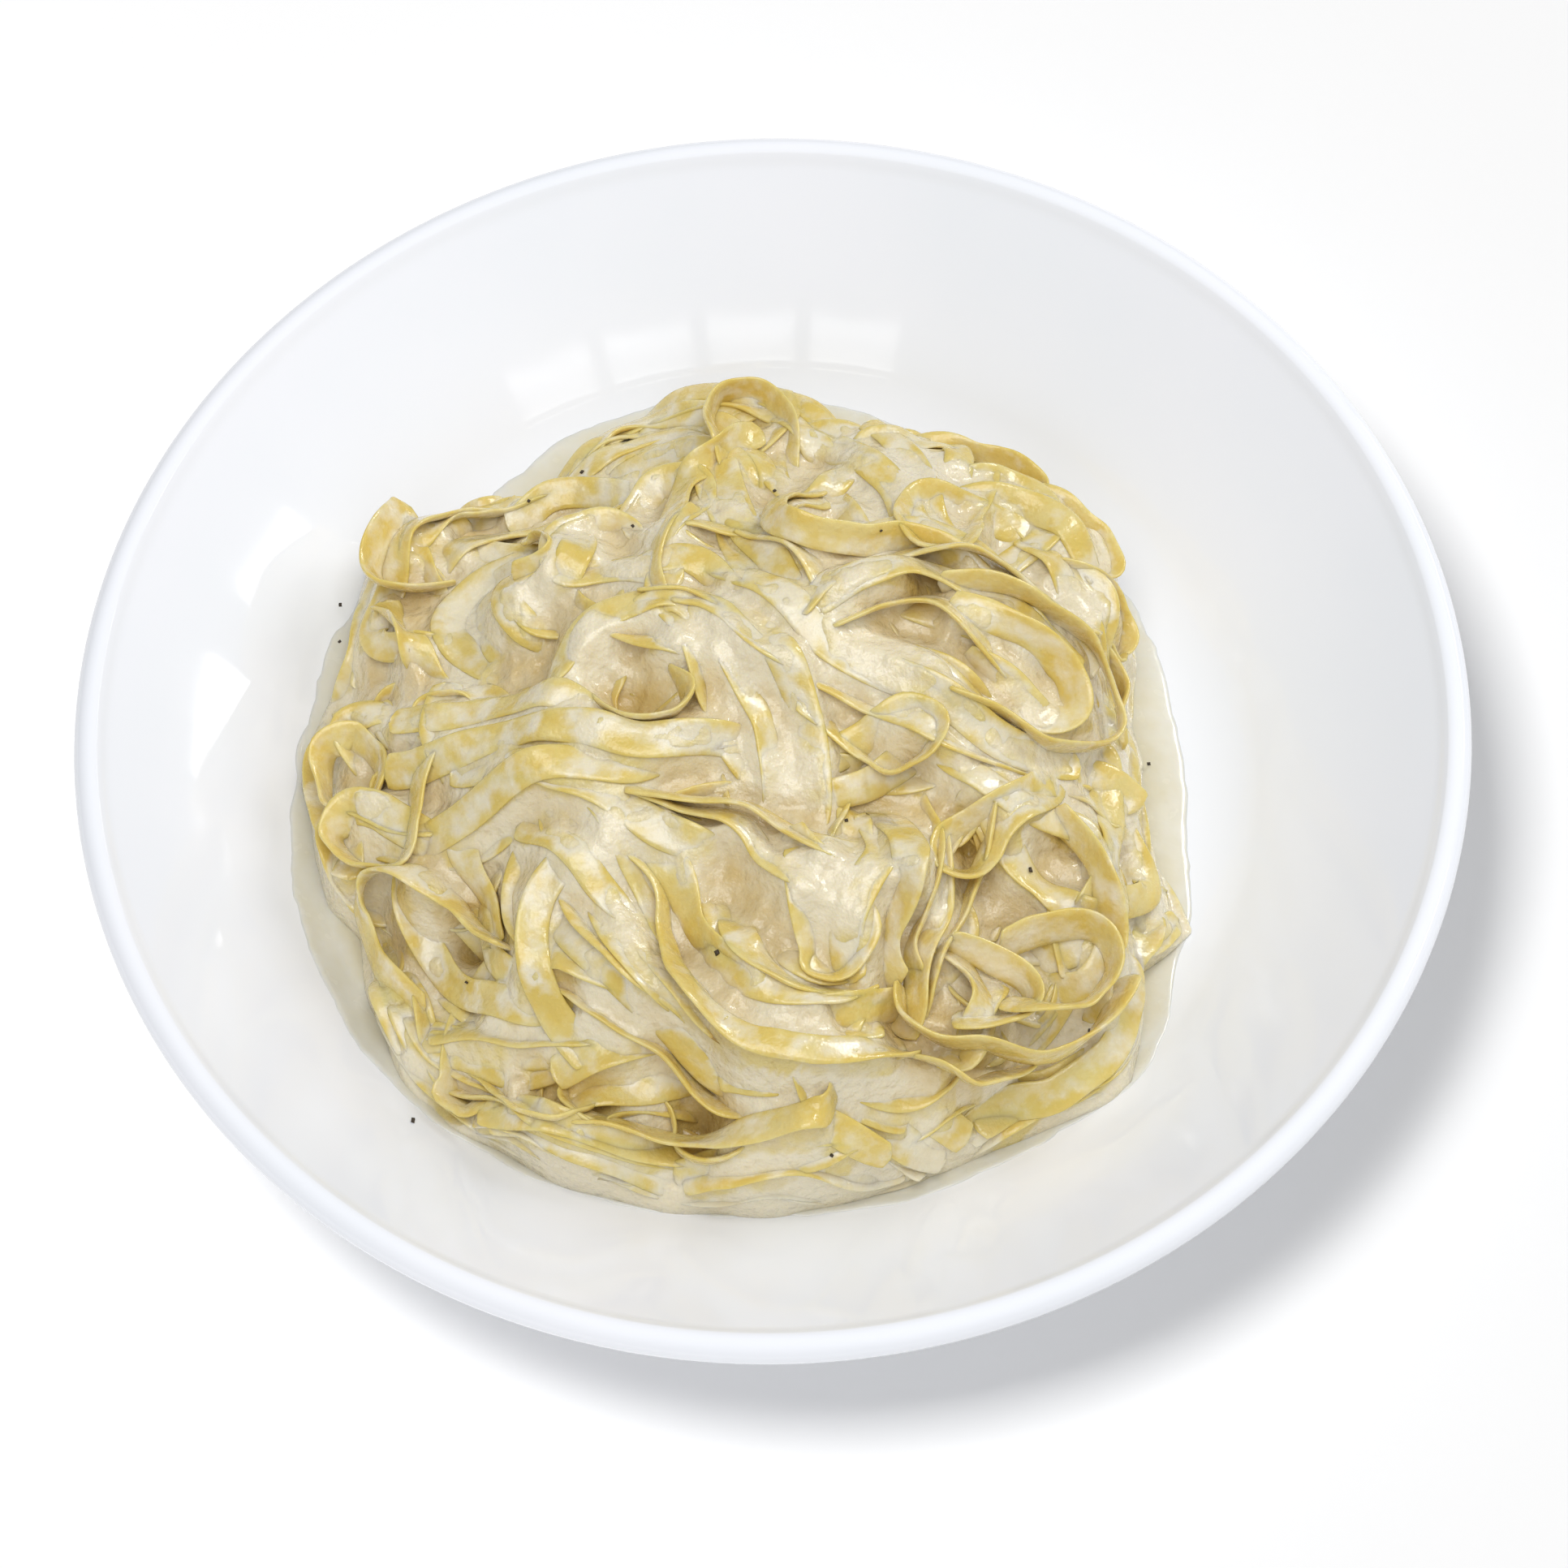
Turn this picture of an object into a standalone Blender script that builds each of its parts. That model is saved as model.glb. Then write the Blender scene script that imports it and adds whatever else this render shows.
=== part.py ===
"""Fettuccine alfredo on its plate: a turned pasta plate, the pool of sauce and the heap of noodles.

Metres, +Z up. The origin is on the table under the plate's centre, and -Y is the diner's side.
"""

import math

import bpy

MM = 0.001
GAP = 0.3 * MM

# The plate: a flat well, a rounded corner, a straight sloping wall and a thick rounded lip.
PLATE_RADIUS = 140 * MM
WELL_Z = 7.5 * MM
WELL_RADIUS = 86 * MM
CORNER_RADIUS = 23 * MM
WALL_SLOPE = math.radians(38)
LIP_INNER_RADIUS = 134 * MM
LIP_HALF_WIDTH = 3.2 * MM
LIP_HALF_HEIGHT = 3.3 * MM
LIP_DROP = 0.4 * LIP_HALF_HEIGHT
LIP_FIRST_TURN = math.radians(125)
LIP_LAST_TURN = math.radians(-70)
WALL_THICKNESS = 5.2 * MM
FOOT_OUTER_RADIUS = 80 * MM
FOOT_WIDTH = 5 * MM
FOOT_EDGE = 0.6 * MM
FOOT_DRAFT = 1.2 * MM
FOOT_FLARE = 3 * MM
FOOT_RECESS = 2.4 * MM
UNDERSIDE_Z = 3.2 * MM
UNDERSIDE_RADII = (132 * MM, 112 * MM, 99 * MM)
UNDERSIDE_BEND_RADIUS = 91 * MM
UNDERSIDE_BEND_RISE = 1.3 * MM
PLATE_STEPS = 64
CORNER_STEPS = 5
LIP_STEPS = 9

# The sauce: level, and as deep as it stands in the well round the noodles.
SAUCE_TOP_Z = 10.0 * MM
SAUCE_RADIUS = 94 * MM
SAUCE_EDGE = 0.45 * MM
SAUCE_STEPS = 48
# Share of the pool's reach for each ring, and its level: 0 the top, 1 the edge, 2 underneath.
SAUCE_RINGS = ((0.5, 0), (0.975, 0), (1, 1), (0.985, 2), (0.93, 2), (0.5, 2))

# The heap of noodles: a mound with an uneven outline that follows the well's corner underneath.
HEAP_RADIUS = 88 * MM
HEAP_HEIGHT = 44 * MM
HEAP_EDGE = 5 * MM
HEAP_STEPS = 180
HEAP_RINGS = 50
HEAP_RING_POWER = 0.9
HEAP_KEPT_SHARE = 0.3
HEAP_LEAST = 2 * MM
DOME_ROUNDNESS = 2.1
DOME_SHOULDER = 0.85
# Share of the heap's reach for each ring below its edge, and its height over the floor in mm.
HEAP_UNDER_RINGS = ((1.012, 2.6), (1, 0), (0.9, 0), (0.6, 0))
NOODLE_WIDTH = 9 * MM
NOODLE_LIFT = 3.6 * MM
NOODLE_SQUARENESS = 6

# Angle in degrees, reach in mm and half width in degrees of each bulge or bay of the outline.
HEAP_LOBES = (
    (178, 7, 9),
    (150, 8, 13),
    (144, 4, 4),
    (127, -4, 5),
    (103, 4, 12),
    (75, -16, 11),
    (0, -18, 15),
    (-34, -9, 4),
    (-50, 9, 10),
    (-84, 8, 16),
    (-128, 14, 20),
)
SAUCE_LOBES = (
    (131, -4, 12),
    (60, -8, 20),
    (2, -11, 20),
    (-90, -3, 30),
)

# Place in mm, height in mm and radius in mm of each hump or dip on the mound.
HEAP_HUMPS = (
    (63, 42, 12, 16),
    (44, 30, -6, 10),
    (-2, 78, 13, 11),
    (-18, 62, -3, 9),
    (-66, 42, 5, 17),
    (-50, 16, -4, 13),
    (58, -50, 8, 18),
    (36, -36, -4, 9),
    (-22, -74, 5, 22),
    (-88, 2, 4, 9),
    (14, -12, 4, 22),
)

# Families of noodles side by side that sweep over the mound as arcs round one centre:
# centre in mm, first radius in mm, count, first and last angle in degrees.
NOODLE_SWEEPS = (
    (12, -20, 39, 3, 172, 262),
    (-8, -12, 46, 3, 4, 64),
    (-32, -154, 154, 1, 70, 104),
    (0, -6, 84, 1, -136, -72),
    (4, 4, 72, 1, -138, -100),
    (63, 43, 11, 1, -80, 230),
    (60, -52, 13, 1, -60, 250),
    (-88, 2, 10, 1, -20, 340),
    (-66, -44, 12, 1, -170, 120),
    (-110, 6, 62, 2, 8, 60),
    (-2, 96, 24, 2, 205, 300),
    (-60, -128, 62, 1, 50, 100),
    (34, -2, 12, 1, -100, 160),
    (96, -4, 34, 1, 150, 215),
    (-30, 36, 14, 1, -100, 170),
    (6, -18, 62, 2, -84, -26),
    (-6, 28, 112, 1, -108, -66),
    (4, 0, 58, 2, 72, 128),
    (30, -40, 24, 1, -150, 40),
    (-14, -8, 20, 1, 100, 330),
    (70, -6, 26, 1, 190, 290),
)
SWEEP_PITCH = 12.6 * MM
SWEEP_END = math.radians(6)


def material(name, colour, roughness):
    """A Principled material with one colour and roughness."""
    made = bpy.data.materials.new(name)
    made.use_nodes = True
    shader = made.node_tree.nodes["Principled BSDF"]
    shader.inputs["Base Color"].default_value = (*colour, 1)
    shader.inputs["Roughness"].default_value = roughness
    shader.inputs["Metallic"].default_value = 0
    return made


def add_object(name, points, edges, faces, finish):
    """A mesh object of the given name and material, shaded smooth where it bends gently."""
    mesh = bpy.data.meshes.new(name)
    mesh.from_pydata([tuple(map(float, point)) for point in points], edges, faces)
    mesh.shade_smooth()
    mesh.set_sharp_from_angle(angle=math.radians(50))
    mesh.materials.append(finish)
    made = bpy.data.objects.new(name, mesh)
    bpy.context.collection.objects.link(made)
    return made


def lobed_radius(angle, radius, lobes):
    """The radius plus one bell-shaped bulge for each lobe, measured the short way round."""
    total = radius
    for middle, reach, width in lobes:
        away = (math.degrees(angle) - middle + 180) % 360 - 180
        total += reach * MM * math.exp(-((away / width) ** 2))
    return total


def well_z(radius):
    """Height of the plate's upper face: flat, then the corner's arc, then the straight wall."""
    into_corner = radius - WELL_RADIUS
    corner_run = CORNER_RADIUS * math.sin(WALL_SLOPE)
    if into_corner <= 0:
        return WELL_Z
    if into_corner < corner_run:
        return WELL_Z + CORNER_RADIUS - math.sqrt(CORNER_RADIUS**2 - into_corner**2)
    corner_rise = CORNER_RADIUS * (1 - math.cos(WALL_SLOPE))
    return WELL_Z + corner_rise + (into_corner - corner_run) * math.tan(WALL_SLOPE)


def plate_profile():
    """Half the plate's section, from its centre over the lip and back under to the axis."""
    points = [(0, WELL_Z)]
    for step in range(CORNER_STEPS + 1):
        turn = WALL_SLOPE * step / CORNER_STEPS
        points.append(
            (
                WELL_RADIUS + CORNER_RADIUS * math.sin(turn),
                WELL_Z + CORNER_RADIUS * (1 - math.cos(turn)),
            )
        )
    points.append((LIP_INNER_RADIUS, well_z(LIP_INNER_RADIUS)))

    lip_x = PLATE_RADIUS - LIP_HALF_WIDTH
    lip_z = well_z(LIP_INNER_RADIUS) - LIP_DROP
    for step in range(LIP_STEPS + 1):
        turn = LIP_FIRST_TURN + (LIP_LAST_TURN - LIP_FIRST_TURN) * step / LIP_STEPS
        points.append(
            (
                lip_x + LIP_HALF_WIDTH * math.cos(turn),
                lip_z + LIP_HALF_HEIGHT * math.sin(turn),
            )
        )

    drop = WALL_THICKNESS / math.cos(WALL_SLOPE)
    for radius in UNDERSIDE_RADII:
        points.append((radius, well_z(radius) - drop))
    points.append((UNDERSIDE_BEND_RADIUS, UNDERSIDE_Z + UNDERSIDE_BEND_RISE))
    points.append((FOOT_OUTER_RADIUS + FOOT_FLARE, UNDERSIDE_Z))
    points.append((FOOT_OUTER_RADIUS, FOOT_EDGE))
    points.append((FOOT_OUTER_RADIUS - FOOT_EDGE, 0))
    points.append((FOOT_OUTER_RADIUS - FOOT_WIDTH, 0))
    points.append((FOOT_OUTER_RADIUS - FOOT_WIDTH - FOOT_DRAFT, FOOT_RECESS))
    points.append((0, FOOT_RECESS))
    return points


def make_plate(finish):
    """The profile turned once round the axis by a Screw modifier."""
    points = [(x, 0, z) for x, z in plate_profile()]
    edges = [(i, i + 1) for i in range(len(points) - 1)]
    plate = add_object("plate", points, edges, [], finish)
    screw = plate.modifiers.new("turn", "SCREW")
    screw.axis = "Z"
    screw.angle = 2 * math.pi
    screw.steps = PLATE_STEPS
    screw.render_steps = PLATE_STEPS
    screw.use_merge_vertices = True
    screw.merge_threshold = 0.01 * MM
    screw.use_smooth_shade = True
    return plate


def closed_rings(name, top, rings, bottom, finish):
    """A closed shape: a fan round the top point, bands between the rings, a fan under them."""
    steps = len(rings[0])
    points = [top]
    for ring in rings:
        points.extend(ring)
    points.append(bottom)
    faces = []
    for i in range(steps):
        j = (i + 1) % steps
        faces.append((0, 1 + i, 1 + j))
        for row in range(len(rings) - 1):
            upper = 1 + row * steps
            lower = upper + steps
            faces.append((upper + i, lower + i, lower + j, upper + j))
        last = 1 + (len(rings) - 1) * steps
        faces.append((last + i, len(points) - 1, last + j))
    return add_object(name, points, [], faces, finish)


def make_sauce(finish):
    """A level pool with a rounded edge, whose underside follows the well and its corner."""
    rings = []
    for share, level in SAUCE_RINGS:
        ring = []
        for i in range(SAUCE_STEPS):
            angle = 2 * math.pi * i / SAUCE_STEPS
            radius = share * lobed_radius(angle, SAUCE_RADIUS, SAUCE_LOBES)
            under = well_z(radius) + GAP
            levels = (SAUCE_TOP_Z, max(under, SAUCE_TOP_Z - SAUCE_EDGE), under)
            ring.append((radius * math.cos(angle), radius * math.sin(angle), levels[level]))
        rings.append(ring)
    return closed_rings(
        "alfredo_sauce", (0, 0, SAUCE_TOP_Z), rings, (0, 0, WELL_Z + GAP), finish
    )


def noodle_relief(x, y):
    """How far the topmost noodle lifts the surface: a flat-topped ridge along each arc."""
    lift = 0.0
    for centre_x, centre_y, radius, count, first, last in NOODLE_SWEEPS:
        away_x, away_y = x - centre_x * MM, y - centre_y * MM
        angle = math.atan2(away_y, away_x)
        middle = math.radians(first + last) / 2
        off_middle = abs((angle - middle + math.pi) % (2 * math.pi) - math.pi)
        inside = (math.radians(last - first) / 2 - off_middle) / SWEEP_END
        end = min(max(inside, 0), 1)
        for turn in range(count):
            across = abs(math.hypot(away_x, away_y) - radius * MM - turn * SWEEP_PITCH)
            across /= NOODLE_WIDTH / 2
            lift = max(lift, end * NOODLE_LIFT / (1 + across**NOODLE_SQUARENESS))
    return lift


def heap_top(x, y, share):
    """Height over the sauce: a dome that falls steeply at its edge, with humps and noodles on it."""
    fullness = (1 - share**DOME_ROUNDNESS) ** DOME_SHOULDER
    dome = HEAP_EDGE + (HEAP_HEIGHT - HEAP_EDGE) * fullness
    humps = 0.0
    for hump_x, hump_y, height, radius in HEAP_HUMPS:
        away = math.hypot(x / MM - hump_x, y / MM - hump_y) / radius
        humps += height * MM * math.exp(-(away**2))
    return dome + humps + noodle_relief(x, y)


def make_heap(finish):
    """The mound: fine rings of points on its upper face, then its edge and its underside.

    The upper face is then thinned out, which keeps its triangles at the noodles' edges.
    """
    floor_z = SAUCE_TOP_Z + GAP
    rings = []
    for row in range(1, HEAP_RINGS + 1):
        share = (row / HEAP_RINGS) ** HEAP_RING_POWER
        ring = []
        for i in range(HEAP_STEPS):
            angle = 2 * math.pi * i / HEAP_STEPS
            radius = share * lobed_radius(angle, HEAP_RADIUS, HEAP_LOBES)
            x, y = radius * math.cos(angle), radius * math.sin(angle)
            under = max(floor_z, well_z(radius) + GAP)
            ring.append((x, y, max(floor_z + heap_top(x, y, share), under + HEAP_LEAST)))
        rings.append(ring)
    for share, lift in HEAP_UNDER_RINGS:
        ring = []
        for i in range(HEAP_STEPS):
            angle = 2 * math.pi * i / HEAP_STEPS
            radius = share * lobed_radius(angle, HEAP_RADIUS, HEAP_LOBES)
            under = max(floor_z, well_z(radius) + GAP)
            ring.append((radius * math.cos(angle), radius * math.sin(angle), under + lift * MM))
        rings.append(ring)
    top = (0, 0, floor_z + heap_top(0, 0, 0))
    heap = closed_rings("fettuccine_heap", top, rings, (0, 0, floor_z), finish)

    upper_face = heap.vertex_groups.new(name="upper_face")
    upper_face.add(list(range(1 + (HEAP_RINGS - 1) * HEAP_STEPS)), 1, "REPLACE")
    thin_out = heap.modifiers.new("thin_out", "DECIMATE")
    thin_out.vertex_group = upper_face.name
    thin_out.ratio = HEAP_KEPT_SHARE
    return heap


def clear_scene():
    """An empty scene to build in."""
    for old in list(bpy.data.objects):
        bpy.data.objects.remove(old, do_unlink=True)


clear_scene()
make_plate(material("white_glazed_ceramic", (0.86, 0.86, 0.86), 0.12))
make_sauce(material("cream_sauce", (0.74, 0.68, 0.50), 0.3))
make_heap(material("egg_pasta", (0.80, 0.66, 0.34), 0.35))
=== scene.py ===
# %% [markdown]
# # Fettuccine alfredo on its plate
# A helping of flat egg noodles, tangled in cream sauce, on a deep round white plate.
# The CAD part gives the sizes and the place of everything: the plate, the level pool and the outline of
# the heap. This script builds the surfaces that are seen: the glazed plate, every noodle, the cream that
# clings between them, the thin pool and the specks of pepper.
# Lengths are in millimetres while a surface is worked out, and become metres when it becomes a mesh.

import math

import bpy
import numpy as np
from mathutils import Matrix, Vector
from mathutils.bvhtree import BVHTree


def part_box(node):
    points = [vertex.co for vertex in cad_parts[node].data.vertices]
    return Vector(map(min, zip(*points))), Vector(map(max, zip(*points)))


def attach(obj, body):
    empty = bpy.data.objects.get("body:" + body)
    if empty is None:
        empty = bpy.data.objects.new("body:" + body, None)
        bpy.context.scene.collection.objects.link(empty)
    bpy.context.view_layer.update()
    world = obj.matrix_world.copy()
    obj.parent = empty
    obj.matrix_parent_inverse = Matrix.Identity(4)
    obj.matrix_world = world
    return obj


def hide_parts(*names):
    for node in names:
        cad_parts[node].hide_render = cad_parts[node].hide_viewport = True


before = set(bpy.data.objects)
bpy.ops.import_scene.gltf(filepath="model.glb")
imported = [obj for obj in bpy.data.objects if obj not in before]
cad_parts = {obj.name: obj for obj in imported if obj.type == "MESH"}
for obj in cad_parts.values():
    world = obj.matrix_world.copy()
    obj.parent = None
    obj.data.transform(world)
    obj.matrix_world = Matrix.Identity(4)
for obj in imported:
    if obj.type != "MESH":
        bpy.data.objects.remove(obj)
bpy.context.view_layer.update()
MM = 0.001
for node_name in sorted(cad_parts):
    low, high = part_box(node_name)
    print(node_name, [round(1000 * v, 1) for v in low], [round(1000 * v, 1) for v in high])

# %% [markdown]
# ## From arrays to a mesh
# Every surface below is an array of points and an array of faces. One function turns them into a Blender
# mesh, with any values that each point carries for its material, such as how much cream covers it.
# Whole arrays are handed over at once, which takes a moment even for a hundred thousand faces.


# %% A mesh from arrays
def new_piece(name, points, quads, triangles, finish, slot, replaces, values=None):
    """Points in mm, quads and triangles as rows of point numbers. It rides on the root body."""
    mesh = bpy.data.meshes.new(name)
    mesh.vertices.add(len(points))
    mesh.vertices.foreach_set("co", (points * MM).astype(np.float32).ravel())
    corners = np.concatenate([quads.ravel(), triangles.ravel()]).astype(np.int32)
    sizes = np.concatenate([np.full(len(quads), 4), np.full(len(triangles), 3)])
    starts = (np.cumsum(sizes) - sizes).astype(np.int32)
    mesh.loops.add(len(corners))
    mesh.loops.foreach_set("vertex_index", corners)
    mesh.polygons.add(len(sizes))
    mesh.polygons.foreach_set("loop_start", starts)
    mesh.polygons.foreach_set("use_smooth", np.ones(len(sizes), bool))
    mesh.update(calc_edges=True)
    for label, numbers in (values or {}).items():
        layer = mesh.attributes.new(label, "FLOAT", "POINT")
        layer.data.foreach_set("value", numbers.astype(np.float32).ravel())
    mesh.materials.append(finish)
    piece = bpy.data.objects.new(name, mesh)
    bpy.context.scene.collection.objects.link(piece)
    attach(piece, "root")
    if replaces:
        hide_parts(replaces)
    print(name, len(points), "points", len(quads) * 2 + len(triangles), "triangles")


def grid_quads(rows, columns, wrap_columns=False):
    """Corner (i, j) joins (i+1, j), (i+1, j+1) and (i, j+1); the last column may join the first."""
    i = np.arange(rows - 1)[:, None]
    j = np.arange(columns if wrap_columns else columns - 1)[None, :]
    across = (j + 1) % columns
    here, after = i * columns, (i + 1) * columns
    corners = [here + j, after + j, after + across, here + across]
    return np.stack(np.broadcast_arrays(*corners), -1).reshape(-1, 4)


def fan(centre, ring, outward):
    """Triangles from one point to each side of a closed ring; outward turns them over."""
    after = np.roll(ring, -1)
    middle = np.full(len(ring), centre)
    order = (middle, ring, after) if outward else (middle, after, ring)
    return np.stack(order, -1)


# %% [markdown]
# ## The finishes
# The finishes are a hard glaze, egg pasta, clinging cream, the thin sauce of the pool and black pepper.
# Pasta, cream and sauce let light in, so they use subsurface scattering. They take part of their colour
# from values stored at each point: how much cream covers a place, how deep it lies in the heap, and how
# thin the pool is. Where a place lies deep its colour is painted shade: a darker gold for the light that
# comes back golden from deep pockets, and brown in the deepest hollows. An image texture would have to be
# unwrapped again after each change of shape, while a stored value follows the shape by itself.


# %% Shader building
def linear(red, green, blue):
    """The linear colour of three sRGB numbers from 0 to 255."""
    share = np.array([red, green, blue]) / 255
    return (*np.where(share <= 0.04045, share / 12.92, ((share + 0.055) / 1.055) ** 2.4), 1)


class Shader:
    """A material whose nodes are added and joined one line at a time."""

    def __init__(self, name):
        """Starts with Blender's own surface node and the object's coordinates."""
        self.material = bpy.data.materials.new(name)
        self.material.use_nodes = True
        self.nodes = self.material.node_tree.nodes
        self.links = self.material.node_tree.links
        self.surface = self.nodes["Principled BSDF"]
        self.coordinates = self.nodes.new("ShaderNodeTexCoord").outputs["Object"]

    def give(self, socket, value):
        """Joins an output to the socket, or sets a plain value on it."""
        if isinstance(value, bpy.types.NodeSocket):
            self.links.new(value, socket)
        else:
            socket.default_value = value

    def noise(self, size_mm, detail=2.0):
        """Noise from about 0.3 to 0.7, whose lumps are size_mm apart."""
        node = self.nodes.new("ShaderNodeTexNoise")
        node.inputs["Scale"].default_value = 1 / (size_mm * MM)
        node.inputs["Detail"].default_value = detail
        self.links.new(self.coordinates, node.inputs["Vector"])
        return node.outputs["Fac"]

    def stored(self, label):
        """A value stored at the mesh's points."""
        node = self.nodes.new("ShaderNodeAttribute")
        node.attribute_name = label
        return node.outputs["Fac"]

    def range(self, value, from_low, from_high, to_low=0.0, to_high=1.0):
        """The value carried from one range to another, and held at its ends."""
        node = self.nodes.new("ShaderNodeMapRange")
        self.give(node.inputs["Value"], value)
        node.inputs["From Min"].default_value = from_low
        node.inputs["From Max"].default_value = from_high
        node.inputs["To Min"].default_value = to_low
        node.inputs["To Max"].default_value = to_high
        return node.outputs["Result"]

    def math(self, operation, first, second):
        """The sum or the product of two values."""
        node = self.nodes.new("ShaderNodeMath")
        node.operation = operation
        self.give(node.inputs[0], first)
        self.give(node.inputs[1], second)
        return node.outputs["Value"]

    def mix(self, share, first, second):
        """The first colour with a share of the second mixed in."""
        node = self.nodes.new("ShaderNodeMix")
        node.data_type = "RGBA"
        self.give(node.inputs["Factor"], share)
        self.give(node.inputs["A"], first)
        self.give(node.inputs["B"], second)
        return node.outputs["Result"]

    def bump(self, height, distance_mm, under=None):
        """A normal that rises by distance_mm where height is 1."""
        node = self.nodes.new("ShaderNodeBump")
        node.inputs["Distance"].default_value = distance_mm * MM
        self.give(node.inputs["Height"], height)
        if under is not None:
            self.give(node.inputs["Normal"], under)
        return node.outputs["Normal"]


def set_surface(shader, **values):
    """Sets the Principled inputs named with underscores for spaces."""
    for label, value in values.items():
        shader.give(shader.surface.inputs[label.replace("_", " ")], value)


# %% The glaze
glaze = Shader("white_glaze")
set_surface(
    glaze,
    Base_Color=glaze.mix(
        glaze.range(glaze.noise(60), 0.35, 0.65), linear(244, 246, 252), linear(241, 244, 250)
    ),
    Roughness=glaze.range(glaze.noise(25), 0.3, 0.7, 0.05, 0.08),
    IOR=1.5,
    Coat_Weight=0.3,
    Coat_Roughness=0.05,
    Normal=glaze.bump(glaze.noise(14), 0.02),
)

# %% The pasta
PASTA_YELLOW = linear(219, 194, 106)
PASTA_PALE = linear(224, 206, 138)
# Painted shade: a darker gold that stands in for the golden light coming back from deep pockets.
PAINTED_WARM_SHADE = linear(200, 168, 84)
# Painted shade: brown for the deepest hollows of the heap.
PAINTED_DEEP_SHADE = linear(156, 122, 58)
CREAM = linear(233, 223, 195)
CREAM_SHADE = linear(225, 213, 177)
POOL_SAUCE = linear(217, 210, 184)
THIN_SAUCE = linear(230, 228, 219)


def food_shader(name, plain, pale, warm_shade_colour, lump_mm):
    """Plain colour with paler streaks, cream over it where stored, and painted shade where it lies deep:
    darker gold, then brown.
    """
    food = Shader(name)
    streaks = food.range(food.noise(7, 3), 0.4, 0.62)
    body = food.mix(streaks, plain, pale)
    blotches = food.range(food.noise(3.2, 3), 0.35, 0.7, -0.3, 0.3)
    patches = food.math("ADD", food.stored("cream"), blotches)
    coated = food.mix(food.range(patches, 0.15, 0.95), body, CREAM)
    uneven = food.range(food.noise(5), 0.3, 0.7, -0.15, 0.15)
    # Painted shade: deeper places are mixed towards the darker gold.
    deep = food.range(food.math("ADD", food.stored("deep"), uneven), 0.05, 0.8)
    with_warm_shade = food.mix(food.math("MULTIPLY", deep, 0.8), coated, warm_shade_colour)
    # Painted shade: the deepest hollows turn brown.
    hollow = food.range(food.stored("deep"), 1.0, 1.6, 0, 0.8)
    grains = food.bump(food.noise(0.9, 2), 0.1)
    lumps = food.bump(food.noise(2.4, 3), lump_mm, under=grains)
    set_surface(
        food,
        Base_Color=food.mix(hollow, with_warm_shade, PAINTED_DEEP_SHADE),
        Roughness=food.range(food.noise(2.2), 0.3, 0.7, 0.14, 0.32),
        IOR=1.42,
        Subsurface_Weight=0.35,
        Subsurface_Radius=(0.9, 0.75, 0.4),
        Subsurface_Scale=2.2 * MM,
        Coat_Weight=0.5,
        Coat_Roughness=0.1,
        Normal=lumps,
    )
    return food.material


pasta_finish = food_shader("egg_pasta", PASTA_YELLOW, PASTA_PALE, PAINTED_WARM_SHADE, 0.4)
cream_finish = food_shader("cream_sauce", PASTA_PALE, CREAM_SHADE, PAINTED_WARM_SHADE, 0.9)

# %% The pool's sauce
pool_sauce = Shader("pool_sauce")
drifts = pool_sauce.range(pool_sauce.noise(6), 0.3, 0.7, -0.2, 0.2)
thinness = pool_sauce.range(pool_sauce.math("ADD", pool_sauce.stored("film"), drifts), 0, 1)
set_surface(
    pool_sauce,
    Base_Color=pool_sauce.mix(thinness, POOL_SAUCE, THIN_SAUCE),
    Roughness=pool_sauce.range(pool_sauce.noise(5), 0.3, 0.7, 0.15, 0.3),
    IOR=1.4,
    Subsurface_Weight=0.3,
    Subsurface_Radius=(1.0, 0.8, 0.5),
    Subsurface_Scale=1.5 * MM,
    Coat_Weight=0.5,
    Coat_Roughness=0.06,
    Normal=pool_sauce.bump(pool_sauce.noise(4), 0.12),
)
print("pasta and cream:", pasta_finish.name, cream_finish.name, "pool:", pool_sauce.material.name)

# %% [markdown]
# ## The plate
# The plate is turned, like the clay one that it stands for: half its section is carried once round the
# axis. The section has a flat well, an arc that lifts into the wall, the wall, a rounded lip and a plain
# underside with a foot ring. The Screw modifier could turn it too; arrays were chosen because the same
# formula of the well then tells where the sauce and the noodles lie.

# %% The plate's section
PLATE_RADIUS, WELL_Z, WELL_RADIUS = 140.0, 7.5, 86.0
CORNER_RADIUS, WALL_SLOPE = 23.0, math.radians(38)
LIP_INNER_RADIUS, LIP_HALF_WIDTH, LIP_HALF_HEIGHT = 134.0, 3.2, 3.3
WALL_THICKNESS, WALL_HOLLOW = 5.2, 0.8
WALL_START = WELL_RADIUS + CORNER_RADIUS * math.sin(WALL_SLOPE)
# Radius and height of the foot ring's section, from the outside inwards, and then of the hidden middle.
FOOT_SECTION = (
    (91, 4.5), (87, 3.6), (83, 3.2), (80.6, 2.2), (80, 0.6),
    (79.4, 0), (75, 0), (74.6, 0.6), (73.8, 2.4), (40, 2.4),
)
PLATE_STEPS = 256


def well_z(radius):
    """Height of the plate's upper face: flat, then a circle's arc, then a wall hollowed very slightly."""
    radius = np.asarray(radius, float)
    into = np.clip(radius, WELL_RADIUS, WALL_START) - WELL_RADIUS
    arc = CORNER_RADIUS - np.sqrt(CORNER_RADIUS**2 - into**2)
    beyond = np.clip(radius - WALL_START, 0, None)
    hollow = WALL_HOLLOW * np.sin(np.pi * np.clip(beyond / (LIP_INNER_RADIUS - WALL_START), 0, 1))
    return WELL_Z + arc + beyond * math.tan(WALL_SLOPE) - hollow


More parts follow.
